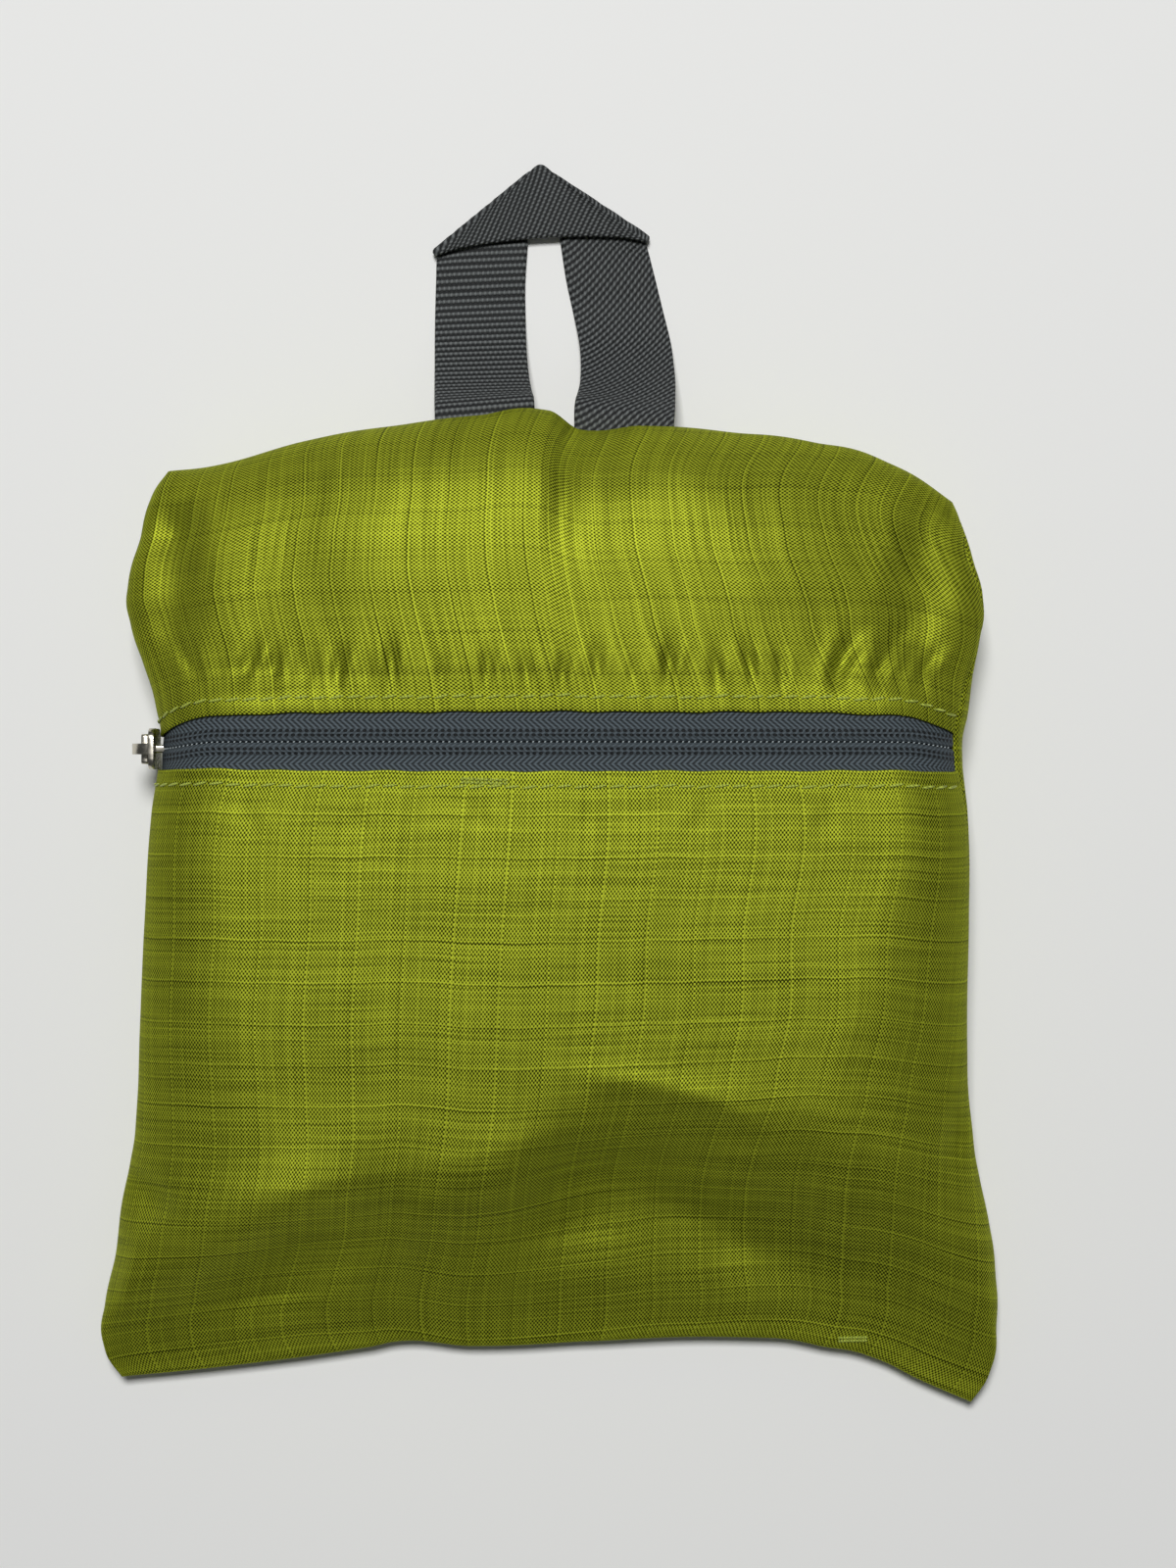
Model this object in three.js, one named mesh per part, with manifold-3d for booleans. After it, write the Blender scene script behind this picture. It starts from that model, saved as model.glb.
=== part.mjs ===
// A packable backpack folded away into its own zipped pocket pouch.
// The pouch lies on its back: +X to the right, +Y towards the hang loop, +Z up, in millimetres.
// Cloth is a wall of its own thickness, made from one skin function that every layer follows.

import * as THREE from 'three';
import { mergeVertices } from 'three/addons/utils/BufferGeometryUtils.js';
import Module from 'manifold-3d';

const wasm = await Module();
wasm.setup();

// Sizes of the stuffed pouch.
const pouchWidth = 176;
const lowerLength = 126;
const upperLength = 67;
const pouchThickness = 37;
const clothWall = 1.0;
const pieceGap = 0.3;

// Sizes of the zip.
const tapeReveal = 5.9;
const tapeUnderHem = 4.5;
const tapeWall = 0.9;
const slitHalf = 0.15;
const slitAtNeck = 1.3;
const coilWidth = 5.2;
const coilThickness = 1.7;
const zipEndDrop = 1.2;
const zipDropStart = 0.84;
const slitOpens = -0.86;
const slitOpensOver = 0.07;
const coilStart = -0.78;
const coilEnd = 0.99;

// Sizes of the slider and its pull.
const sliderLength = 10.5;
const sliderWidth = 8.4;
const plateThickness = 1.1;
const plateSlack = 1.9;
const plateCorner = 2.2;
const neckWidth = 1.7;
const neckLength = 3.0;
const archOuter = 4.0;
const archThickness = 1.15;
const archWidth = 2.2;
const pullWidth = 6.2;
const pullThickness = 1.4;
const pullReach = 15.2;
const pullEyeWidth = 3.2;
const pullEyeReach = 4.9;
const pullCorner = 0.6;
const pullPivotOut = 1.4;

// Sizes of the hang loop.
const webbingWidth = 20;
const webbingThickness = 1.5;
const loopReach = 57.5;
const legSpread = 15;
const foldOpening = 0.5;
const footReach = 6;
const loopAt = 0.1;
const footFade = 0.2;
const crownTaper = 0.3;
const plateShares = [-0.5, -0.25, 0, 0.25, 0.5];

// Sizes of the folded bag inside.
const bundleClearance = 5.6;
const bundleEndLow = 0.7;
const bundleEndHigh = 0.86;
const bundleReach = 0.75;

// How finely each skin is faceted.
const sideColumns = 8;
const middleColumns = 18;
const lowerRows = 22;
const upperRows = 12;
const backSideColumns = 6;
const backMiddleColumns = 10;
const backRows = 22;
const sideBand = 0.6;
const tapeRows = 3;
const coilRows = 2;
const bundleRows = 12;
const topRoundRows = 0.45;
const backBottomRows = 0.3;
const backTopRows = 0.4;
const acrossCells = 4;
const foldSteps = 6;
const legGapRows = 2;
const bandRows = 5;
const cornerSegments = 5;
const archSegments = 14;
const mergeDistance = 1e-4;

// How the skin's slopes meet, where its ends are flat, and the steps that its slope is read over.
const hipSharpness = 3.5;
const foldFadeIn = 3;
const flatEnd = -0.95;
const flatFade = 0.17;
const endBand = 0.05;
const cornerColumn = 0.98;
const cornerRow = 0.99;
const readColumn = 0.004;
const readRow = 0.0015;

const halfWidth = pouchWidth / 2;
const halfPi = Math.PI / 2;
const degree = Math.PI / 180;

// Outline of each side, from the bottom corner (at -1) past the zip (0) to the top corner (1).
// left and right are shares of half the pouch's width.
const sideOutline = [
  { at: -1.00, left: 1.041, right: 0.990 },
  { at: -0.95, left: 1.080, right: 1.034 },
  { at: -0.88, left: 1.078, right: 1.048 },
  { at: -0.80, left: 1.051, right: 1.045 },
  { at: -0.72, left: 1.034, right: 1.027 },
  { at: -0.65, left: 1.010, right: 1.002 },
  { at: -0.58, left: 0.993, right: 0.983 },
  { at: -0.45, left: 0.980, right: 0.966 },
  { at: -0.25, left: 0.963, right: 0.967 },
  { at: -0.10, left: 0.947, right: 0.963 },
  { at: 0.00, left: 0.928, right: 0.949 },
  { at: 0.14, left: 0.934, right: 0.962 },
  { at: 0.30, left: 0.963, right: 0.973 },
  { at: 0.45, left: 0.994, right: 0.990 },
  { at: 0.58, left: 1.000, right: 0.998 },
  { at: 0.75, left: 0.973, right: 0.977 },
  { at: 0.90, left: 0.950, right: 0.952 },
  { at: 1.00, left: 0.911, right: 0.930 },
];

// Bottom edge from corner to corner, drop as a share of the lower length.
const bottomOutline = [
  { at: -1.00, drop: 1.058 },
  { at: -0.70, drop: 1.036 },
  { at: -0.42, drop: 1.009 },
  { at: -0.32, drop: 0.998 },
  { at: -0.18, drop: 1.007 },
  { at: 0.10, drop: 0.999 },
  { at: 0.50, drop: 0.993 },
  { at: 0.66, drop: 1.009 },
  { at: 0.77, drop: 1.026 },
  { at: 0.87, drop: 1.060 },
  { at: 1.00, drop: 1.100 },
];

// Top edge from corner to corner, rise as a share of the upper length.
const topOutline = [
  { at: -1.00, rise: 0.839 },
  { at: -0.85, rise: 0.862 },
  { at: -0.65, rise: 0.928 },
  { at: -0.40, rise: 0.977 },
  { at: -0.20, rise: 1.006 },
  { at: -0.03, rise: 1.020 },
  { at: 0.05, rise: 0.962 },
  { at: 0.20, rise: 0.973 },
  { at: 0.45, rise: 0.952 },
  { at: 0.65, rise: 0.923 },
  { at: 0.84, rise: 0.860 },
  { at: 1.00, rise: 0.742 },
];

// Height of the widest line of each side above the table, as a share of the thickness.
const waistHeight = [
  { at: -1.00, height: 0.13 },
  { at: -0.85, height: 0.17 },
  { at: -0.65, height: 0.29 },
  { at: -0.45, height: 0.41 },
  { at: -0.20, height: 0.47 },
  { at: 0.00, height: 0.49 },
  { at: 0.50, height: 0.53 },
  { at: 0.85, height: 0.48 },
  { at: 1.00, height: 0.43 },
];
const topWaistRise = 0.10;

// Turn of the side seam round the flank in degrees: above 0 it shows from the front.
const seamTurn = [
  { at: -1.00, left: 0, right: 0 },
  { at: -0.80, left: 0, right: 0 },
  { at: -0.50, left: -14, right: 4 },
  { at: -0.15, left: -34, right: 12 },
  { at: 0.00, left: -38, right: 26 },
  { at: 0.20, left: -38, right: 24 },
  { at: 0.45, left: -34, right: 4 },
  { at: 0.70, left: -22, right: 14 },
  { at: 0.88, left: -6, right: 8 },
  { at: 1.00, left: 0, right: 0 },
];

// Width of the rounded flank seen from the front, as a share of half the width.
const flankWidth = [
  { at: -1.00, left: 0.42, right: 0.58 },
  { at: -0.75, left: 0.42, right: 0.56 },
  { at: -0.55, left: 0.33, right: 0.38 },
  { at: -0.30, left: 0.23, right: 0.25 },
  { at: 0.00, left: 0.21, right: 0.21 },
  { at: 0.40, left: 0.29, right: 0.38 },
  { at: 0.75, left: 0.36, right: 0.50 },
  { at: 1.00, left: 0.34, right: 0.42 },
];
const backFlankWidth = 0.21;

// Length of the slope that falls from the packed bundle to the bottom edge, as a share of the lower length.
const bottomSlope = [
  { at: -1.0, reach: 0.30 },
  { at: -0.5, reach: 0.31 },
  { at: -0.2, reach: 0.34 },
  { at: 0.1, reach: 0.40 },
  { at: 0.4, reach: 0.43 },
  { at: 0.7, reach: 0.40 },
  { at: 1.0, reach: 0.36 },
];
const slopeStart = 0.22;

// Length of the rounded top as a share of the upper length, and of the back's ends of both lengths.
const topRound = 0.34;
const backTopRound = 0.3;
const backBottomRound = 0.13;

// Height of the front from bottom to top, as a share of the thickness.
const crownHeight = [
  { at: -1.00, height: 0.80 },
  { at: -0.60, height: 0.90 },
  { at: -0.30, height: 0.96 },
  { at: 0.00, height: 0.97 },
  { at: 0.40, height: 1.00 },
  { at: 0.75, height: 0.98 },
  { at: 1.00, height: 0.92 },
];
const crownFall = 0.07;

// Folds and dents of the front. x is a share of half the width; y of the lower length below the zip
// and of the upper length above it. along and across are half lengths, lift the height, in shares
// of the thickness, and turn is the direction of the long way in degrees from +X.
const folds = [
  { x: -0.62, y: -0.86, along: 0.72, across: 0.22, turn: 40, lift: -0.080 },
  { x: -0.35, y: -0.80, along: 0.30, across: 0.11, turn: 50, lift: 0.045 },
  { x: -0.12, y: -0.80, along: 0.62, across: 0.20, turn: 12, lift: -0.055 },
  { x: 0.26, y: -0.575, along: 0.46, across: 0.12, turn: -14, lift: 0.030 },
  { x: 0.20, y: -0.67, along: 0.40, across: 0.15, turn: 10, lift: -0.045 },
  { x: 0.45, y: -0.835, along: 0.72, across: 0.20, turn: -42, lift: -0.045 },
  { x: 0.34, y: -0.93, along: 0.62, across: 0.17, turn: -8, lift: 0.030 },
  { x: 0.78, y: -0.95, along: 0.45, across: 0.12, turn: -50, lift: 0.030 },
  { x: -0.95, y: -0.735, along: 0.15, across: 0.10, turn: -30, lift: -0.065 },
  { x: -1.00, y: -0.885, along: 0.26, across: 0.07, turn: 75, lift: 0.035 },
  { x: 0.93, y: -0.66, along: 0.22, across: 0.08, turn: 75, lift: -0.040 },
  { x: 0.035, y: 0.91, along: 0.22, across: 0.08, turn: 80, lift: -0.075 },
  { x: 0.02, y: 0.74, along: 0.34, across: 0.08, turn: 84, lift: -0.028 },
  { x: 0.165, y: 0.85, along: 0.20, across: 0.14, turn: 40, lift: -0.030 },
  { x: -0.48, y: 0.40, along: 0.46, across: 0.20, turn: -48, lift: -0.012 },
  { x: 0.46, y: 0.68, along: 0.48, across: 0.20, turn: -70, lift: -0.012 },
  { x: 0.43, y: 0.30, along: 0.32, across: 0.18, turn: 24, lift: -0.012 },
  { x: 0.80, y: 0.41, along: 0.52, across: 0.12, turn: 60, lift: 0.030 },
  { x: -0.88, y: 0.64, along: 0.16, across: 0.10, turn: 70, lift: -0.050 },
  { x: 0.87, y: 0.70, along: 0.14, across: 0.10, turn: -20, lift: -0.045 },
];

// Bare tape between the hem and the zip's centre, as shares of the reveal, from the left to the right end.
const hemReveal = [
  { at: -1.00, upper: 0.44, lower: 0.70 },
  { at: -0.94, upper: 0.74, lower: 0.78 },
  { at: -0.80, upper: 0.90, lower: 0.90 },
  { at: -0.40, upper: 1.00, lower: 0.97 },
  { at: 0.30, upper: 1.00, lower: 0.97 },
  { at: 0.80, upper: 0.90, lower: 0.94 },
  { at: 0.94, upper: 0.62, lower: 0.86 },
  { at: 1.00, upper: 0.34, lower: 0.56 },
];

// The two legs of the hang loop from the pouch's top edge upwards. up is a share of the loop's reach,
// left and right are the legs' middles in shares of the spread, wide is a share of the webbing's width
// (a leg that tilts looks narrower), and height is a share of the seam's height.
const loopLegs = [
  { up: 0.00, left: -0.985, right: 0.93, wide: 1.03, height: 1.00 },
  { up: 0.05, left: -0.995, right: 0.945, wide: 1.03, height: 0.90 },
  { up: 0.12, left: -1.015, right: 0.965, wide: 1.02, height: 0.70 },
  { up: 0.20, left: -1.042, right: 0.988, wide: 1.00, height: 0.47 },
  { up: 0.28, left: -1.066, right: 0.982, wide: 0.98, height: 0.27 },
  { up: 0.36, left: -1.082, right: 0.955, wide: 0.97, height: 0.12 },
  { up: 0.48, left: -1.090, right: 0.86, wide: 0.96, height: 0.00 },
  { up: 0.60, left: -1.084, right: 0.755, wide: 0.95, height: 0.00 },
];
// The mitred peak: where each fold line starts and ends, x in shares of the spread, up of the reach.
const loopPeak = {
  leftShoulder: { x: -1.711, up: 0.680 },
  leftCrown: { x: -0.351, up: 0.9915 },
  rightCrown: { x: -0.107, up: 0.9863 },
  rightShoulder: { x: 1.262, up: 0.7306 },
  edgeBow: 0.040,
  crownBow: 0.028,
  bowRoundness: 0.6,
};

// A smooth curve through one column of a table, held at its end values.
function curve(table, column, key = 'at') {
  const xs = table.map((row) => row[key]);
  const ys = table.map((row) => row[column]);
  const last = xs.length - 1;
  const slopes = xs.map((x, i) => {
    const low = Math.max(i - 1, 0);
    const high = Math.min(i + 1, last);
    return (ys[high] - ys[low]) / (xs[high] - xs[low]);
  });
  return (x) => {
    const clamped = Math.min(Math.max(x, xs[0]), xs[last]);
    let i = 0;
    while (i < last - 1 && clamped > xs[i + 1]) i += 1;
    const span = xs[i + 1] - xs[i];
    const t = (clamped - xs[i]) / span;
    const start = ys[i] + span * slopes[i] * t;
    const end = ys[i + 1] - span * slopes[i + 1] * (1 - t);
    const ease = t * t * (3 - 2 * t);
    return start * (1 - ease) + end * ease;
  };
}

const leftOutline = curve(sideOutline, 'left');
const rightOutline = curve(sideOutline, 'right');
const bottomDrop = curve(bottomOutline, 'drop');
const topRise = curve(topOutline, 'rise');
const waistShare = curve(waistHeight, 'height');
const leftSeamTurn = curve(seamTurn, 'left');
const rightSeamTurn = curve(seamTurn, 'right');
const leftFlank = curve(flankWidth, 'left');
const rightFlank = curve(flankWidth, 'right');
const slopeReach = curve(bottomSlope, 'reach');
const crownShare = curve(crownHeight, 'height');
const upperReveal = curve(hemReveal, 'upper');
const lowerReveal = curve(hemReveal, 'lower');

const lerp = THREE.MathUtils.lerp;
const clamp = THREE.MathUtils.clamp;
const ease = (t) => THREE.MathUtils.smoothstep(t, 0, 1);

// The smaller of two rising shares, with a rounded meeting line, so that slopes meet in soft hips.
function softLeast(a, b) {
  if (a <= 0 || b <= 0) return 0;
  return (a ** -hipSharpness + b ** -hipSharpness - 1) ** (-1 / hipSharpness);
}

// Quarter-round rise from 0 at an edge to 1 where the share of the way in reaches 1.
function roundRise(share) {
  const left = 1 - clamp(share, 0, 1);
  return Math.sqrt(1 - left * left);
}

const sideX = (side, w) => (side < 0 ? -leftOutline(w) : rightOutline(w)) * halfWidth;
const edgeLength = (q, w) => (w < 0 ? bottomDrop(q) * lowerLength : topRise(q) * upperLength);
const zipLine = (q) => -zipEndDrop * ease((Math.abs(q) - zipDropStart) / (1 - zipDropStart));

// Across share of a point of plan x on row w, -1 on the left outline and 1 on the right.
function acrossShare(x, w) {
  const left = sideX(-1, w);
  const right = sideX(1, w);
  return (2 * x - left - right) / (right - left);
}

const planY = (q, w) => zipLine(q) * (1 - Math.abs(w)) + w * edgeLength(q, w);

function waistAt(q, w) {
  const top = topWaistRise * (1 - q * q) * ease(w);
  return (waistShare(w) + top) * pouchThickness;
}

// Share of the full front height that the ends allow at a point.
function frontEndShare(q, w) {
  const inUp = (1 - w) / topRound;
  const top = roundRise(inUp);
  const t = clamp((1 + w) / slopeReach(q), 0, 1);
  const bottom = slopeStart * t + (1 - slopeStart) * ease(t);
  return w > 0 ? top : bottom;
}

function backEndShare(w) {
  return w > 0 ? roundRise((1 - w) / backTopRound) : roundRise((1 + w) / backBottomRound);
}

// Height that the folds and dents add to the front at a plan point.
function foldLift(x, y) {
  let lift = 0;
  for (const fold of folds) {
    const length = fold.y < 0 ? lowerLength : upperLength;
    const dx = x - fold.x * halfWidth;
    const dy = y - fold.y * length;
    const cos = Math.cos(fold.turn * degree);
    const sin = Math.sin(fold.turn * degree);
    const a = (dx * cos + dy * sin) / (fold.along * pouchThickness);
    const b = (dy * cos - dx * sin) / (fold.across * pouchThickness);
    lift += fold.lift * pouchThickness * Math.exp(-a * a - b * b);
  }
  return lift;
}

// A point of the skin. side is -1 or 1 on the flanks, turn the angle round the flank from the widest
// line, up to a quarter turn where the front (or, below 0, the back) begins. across runs over the middle.
function skinPoint(side, turn, across, w) {
  const front = turn >= 0;
  const leftMargin = (front ? leftFlank(w) : backFlankWidth) * halfWidth;
  const rightMargin = (front ? rightFlank(w) : backFlankWidth) * halfWidth;
  const left = sideX(-1, w);
  const right = sideX(1, w);
  let x = lerp(left + leftMargin, right - rightMargin, across);
  if (side < 0) x = left + leftMargin * (1 - Math.cos(turn));
  if (side > 0) x = right - rightMargin * (1 - Math.cos(turn));
  const q = acrossShare(x, w);
  const y = planY(q, w);
  const sideShare = side === 0 ? 1 : Math.abs(Math.sin(turn));
  const waist = waistAt(q, w);
  if (!front) return new THREE.Vector3(x, y, waist * (1 - softLeast(sideShare, backEndShare(w))));
  const share = softLeast(sideShare, frontEndShare(q, w));
  const crown = pouchThickness * crownShare(w) * (1 - crownFall * q * q);
  const lift = foldLift(x, y) * clamp(share * foldFadeIn, 0, 1);
  return new THREE.Vector3(x, y, waist + (crown - waist) * share + lift);
}

// Column c of a face runs from -1 at the left seam to 1 at the right seam, w from -1 to 1 upwards.
function panelPoint(face, c, w) {
  const side = Math.abs(c) < sideBand ? 0 : Math.sign(c);
  const across = (c / sideBand + 1) / 2;
  if (side === 0) return skinPoint(0, face * halfPi, across, w);
  const seam = (side < 0 ? leftSeamTurn(w) : rightSeamTurn(w)) * degree;
  const edge = seam + face * pieceGap / 2 / waistAt(side, w);
  const inFromSeam = (1 - Math.abs(c)) / (1 - sideBand);
  return skinPoint(side, lerp(edge, face * halfPi, inFromSeam), across, w);
}

// Near the bottom edge the two walls lie flat on each other, so they part straight up and down.
const flatShare = (w) => 1 - ease((w - flatEnd) / flatFade);

// The way into the pouch from a point of a face. At a top corner the skin has no slope to read.
function inwardAt(face, c, w) {
  const stepC = c > 0 ? -readColumn : readColumn;
  const stepW = w > 0 ? -readRow : readRow;
  const here = panelPoint(face, c, w);
  const alongC = panelPoint(face, c + stepC, w).sub(here).multiplyScalar(Math.sign(stepC));
  const alongW = panelPoint(face, c, w + stepW).sub(here).multiplyScalar(Math.sign(stepW));
  const inward = alongW.cross(alongC).multiplyScalar(face).normalize();
  const corner = ease((Math.abs(c) - cornerColumn) / (1 - cornerColumn))
    * ease((w - cornerRow) / (1 - cornerRow));
  const diagonal = new THREE.Vector3(-Math.sign(c), -1, 0).normalize();
  inward.lerp(diagonal, corner);
  return inward.lerp(new THREE.Vector3(0, 0, -face), flatShare(w)).normalize();
}

// Point of a layer at a depth inside the skin. face is 1 for the front and -1 for the back.
function layerPoint(face, c, w, depth) {
  const point = panelPoint(face, c, w);
  const waist = waistAt(acrossShare(point.x, w), w);
  const flat = flatShare(w);
  if (face > 0) point.z += clothWall * flat;
  else point.z *= 1 - clothWall * flat / waist;
  point.addScaledVector(inwardAt(face, c, w), depth);
  const atEnd = 1 - Math.abs(w) < endBand || flat > 0;
  if (atEnd) point.z = face > 0 ? Math.max(point.z, waist) : Math.min(point.z, waist);
  point.z += face * pieceGap / 2;
  return point;
}

// A closed wall between two grids of points, the outer one facing away from the inner one.
function wallBetween(outer, inner, flip = false) {
  const rows = outer.length;
  const columns = outer[0].length;
  const positions = [...outer.flat(), ...inner.flat()].flatMap((p) => [p.x, p.y, p.z]);
  const index = [];
  const addQuad = (a, b, c, d) => {
    if (flip) index.push(a, c, b, a, d, c);
    else index.push(a, b, c, a, c, d);
  };
  const out = (r, c) => r * columns + c;
  const inn = (r, c) => rows * columns + out(r, c);
  for (let r = 0; r < rows - 1; r += 1) {
    for (let c = 0; c < columns - 1; c += 1) {
      addQuad(out(r, c), out(r, c + 1), out(r + 1, c + 1), out(r + 1, c));
      addQuad(inn(r, c), inn(r + 1, c), inn(r + 1, c + 1), inn(r, c + 1));
    }
    const end = columns - 1;
    addQuad(out(r, 0), out(r + 1, 0), inn(r + 1, 0), inn(r, 0));
    addQuad(out(r, end), inn(r, end), inn(r + 1, end), out(r + 1, end));
  }
  const top = rows - 1;
  for (let c = 0; c < columns - 1; c += 1) {
    addQuad(out(0, c), inn(0, c), inn(0, c + 1), out(0, c + 1));
    addQuad(out(top, c), out(top, c + 1), inn(top, c + 1), inn(top, c));
  }
  const geometry = new THREE.BufferGeometry();
  geometry.setAttribute('position', new THREE.Float32BufferAttribute(positions, 3));
  geometry.setIndex(index);
  geometry.computeVertexNormals();
  return geometry;
}

// Columns between two values of c, spaced as the flanks and the middle need.
function columnList(perSide, middle) {
  const flank = 1 - sideBand;
  const list = [];
  for (let i = 0; i < perSide; i += 1) list.push(-1 + flank * i / perSide);
  for (let i = 0; i <= middle; i += 1) list.push(sideBand * (2 * i / middle - 1));
  for (let i = 1; i <= perSide; i += 1) list.push(sideBand + flank * i / perSide);
  return list;
}

// A row at share t between two ends, spaced by angle over the rounded stretch at either end.
function rowBetween(t, low, high, lowRound, highRound, bend) {
  const lowBend = lowRound > 0 ? bend : 0;
  const highBend = highRound > 0 ? bend : 0;
  if (t < lowBend) return low + lowRound * (1 - Math.cos(t / lowBend * halfPi));
  if (t > 1 - highBend) return high - highRound * (1 - Math.cos((1 - t) / highBend * halfPi));
  return lerp(low + lowRound, high - highRound, (t - lowBend) / (1 - lowBend - highBend));
}

const shareAlongZip = (c) => acrossShare(panelPoint(1, c, 0).x, 0);

// Row w at which column c of the front lies a given distance above (or below) the zip's line.
function rowAtOffset(c, offset) {
  const q = shareAlongZip(c);
  const way = offset < 0 ? -1 : 1;
  return offset / (edgeLength(q, way) - way * zipLine(q));
}

const upperHem = (c) => tapeReveal * upperReveal(shareAlongZip(c));
const lowerHem = (c) => tapeReveal * lowerReveal(shareAlongZip(c));
const slitAt = (c) => lerp(slitAtNeck, slitHalf, ease((c - slitOpens) / slitOpensOver));

// A layer of a face between two depths. rowOf gives the row w for a column and a share of the way up.
function clothLayer(face, columns, rowCount, rowOf, depthOut, depthIn) {
  const grid = (depth) => {
    const rows = [];
    for (let r = 0; r <= rowCount; r += 1) {
      rows.push(columns.map((c) => layerPoint(face, c, rowOf(c, r / rowCount), depth)));
    }
    return rows;
  };
  return wallBetween(grid(depthOut), grid(depthIn), face < 0);
}

const frontColumns = columnList(sideColumns, middleColumns);
const backColumns = columnList(backSideColumns, backMiddleColumns);

function makeFrontLower() {
  const rowOf = (c, t) => lerp(-1, rowAtOffset(c, -lowerHem(c)), t);
  return clothLayer(1, frontColumns, lowerRows, rowOf, 0, clothWall);
}

function makeFrontUpper() {
  const rowOf = (c, t) => rowBetween(t, rowAtOffset(c, upperHem(c)), 1, 0, topRound, topRoundRows);
  return clothLayer(1, frontColumns, upperRows, rowOf, 0, clothWall);
}

function makeBack() {
  const rowOf = (c, t) => {
    const half = t < 0.5;
    if (half) return rowBetween(t * 2, -1, 0, backBottomRound, 0, backBottomRows);
    return rowBetween(t * 2 - 1, 0, 1, 0, backTopRound, backTopRows);
  };
  return clothLayer(-1, backColumns, backRows, rowOf, 0, clothWall);
}

const tapeDepth = clothWall + pieceGap;

function makeTape(way) {
  const hem = way > 0 ? upperHem : lowerHem;
  const low = (c) => (way > 0 ? slitAt(c) : -hem(c) - tapeUnderHem);
  const high = (c) => (way > 0 ? hem(c) + tapeUnderHem : -slitAt(c));
  const rowOf = (c, t) => rowAtOffset(c, lerp(low(c), high(c), t));
  return clothLayer(1, frontColumns, tapeRows, rowOf, tapeDepth, tapeDepth + tapeWall);
}

function makeCoil() {
  const columns = frontColumns.filter((c) => c > coilStart && c < coilEnd);
  const rowOf = (c, t) => rowAtOffset(c, lerp(-coilWidth / 2, coilWidth / 2, t));
  const depth = tapeDepth + tapeWall + pieceGap;
  return clothLayer(1, columns, coilRows, rowOf, depth, depth + coilThickness);
}

// The folded bag: one lump that fills the pouch, with its face under the zip and its back on the table side.
function makeBundle() {
  const columns = backColumns.filter((c) => Math.abs(c) < bundleReach);
  const face = (side, depth) => {
    const grid = [];
    for (let r = 0; r <= bundleRows; r += 1) {
      const w = lerp(-bundleEndLow, bundleEndHigh, r / bundleRows);
      grid.push(columns.map((c) => layerPoint(side, c, w, depth)));
    }
    return grid;
  };
  return wallBetween(face(1, bundleClearance), face(-1, tapeDepth));
}

// The hang loop is one strip of webbing: rows of points across it, from one leg's foot to the other's.
const seamHeight = waistAt(0, 1);
const webbingLow = webbingThickness / 2;
const foldRadius = (webbingThickness + foldOpening) / 2;
const loopFoot = topRise(loopAt) * upperLength;

const peakPoint = (corner) => new THREE.Vector3(
  corner.x * legSpread, loopFoot + corner.up * loopReach, webbingLow);

// A row of points from the strip's outer edge to its inner edge.
function rowAcross(outerEdge, innerEdge) {
  const row = [];
  for (let i = 0; i <= acrossCells; i += 1) {
    row.push(outerEdge.clone().lerp(innerEdge, i / acrossCells));
  }
  return row;
}

// Where webbing can start beside the top seam, clear of the straight facets on both sides of x.
function topEdgeY(x) {
  const nearby = [-1, -0.5, 0, 0.5, 1].map((share) => x + share * footReach);
  return Math.max(...nearby.map((near) => planY(acrossShare(near, 1), 1))) + pieceGap;
}

function legRows(column, outerSide) {
  return loopLegs.map((leg) => {
    const middle = leg[column] * legSpread;
    const half = outerSide * leg.wide * webbingWidth / 2;
    const outerEdge = new THREE.Vector3(middle + half, 0, 0);
    const innerEdge = new THREE.Vector3(middle - half, 0, 0);
    const row = rowAcross(outerEdge, innerEdge);
    for (const point of row) {
      const straight = loopFoot + leg.up * loopReach;
      point.y = lerp(topEdgeY(point.x) + leg.up * loopReach, straight, ease(leg.up / footFade));
      point.z = lerp(webbingLow, seamHeight - webbingLow, leg.height);
    }
    return row;
  });
}

// Rows that carry a row over a fold line, from one layer to the other (up is 1 or -1). The fold's
// bulge fades out at the crown, where both folds meet in one round peak.
function foldRows(line, outward, up) {
  const rows = [];
  for (let i = 0; i <= foldSteps; i += 1) {
    const angle = Math.PI * i / foldSteps;
    const rise = new THREE.Vector3(0, 0, up * foldRadius * (1 - Math.cos(angle)));
    rows.push(line.map((point, k) => {
      const bulge = 1 - ease((k / acrossCells - 1 + crownTaper) / crownTaper);
      return point.clone().add(rise).addScaledVector(outward, bulge * foldRadius * Math.sin(angle));
    }));
  }
  return rows;
}

function betweenRows(first, last, count) {
  const rows = [];
  for (let i = 1; i <= count; i += 1) {
    const t = i / (count + 1);
    rows.push(first.map((point, k) => point.clone().lerp(last[k], t)));
  }
  return rows;
}

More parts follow.
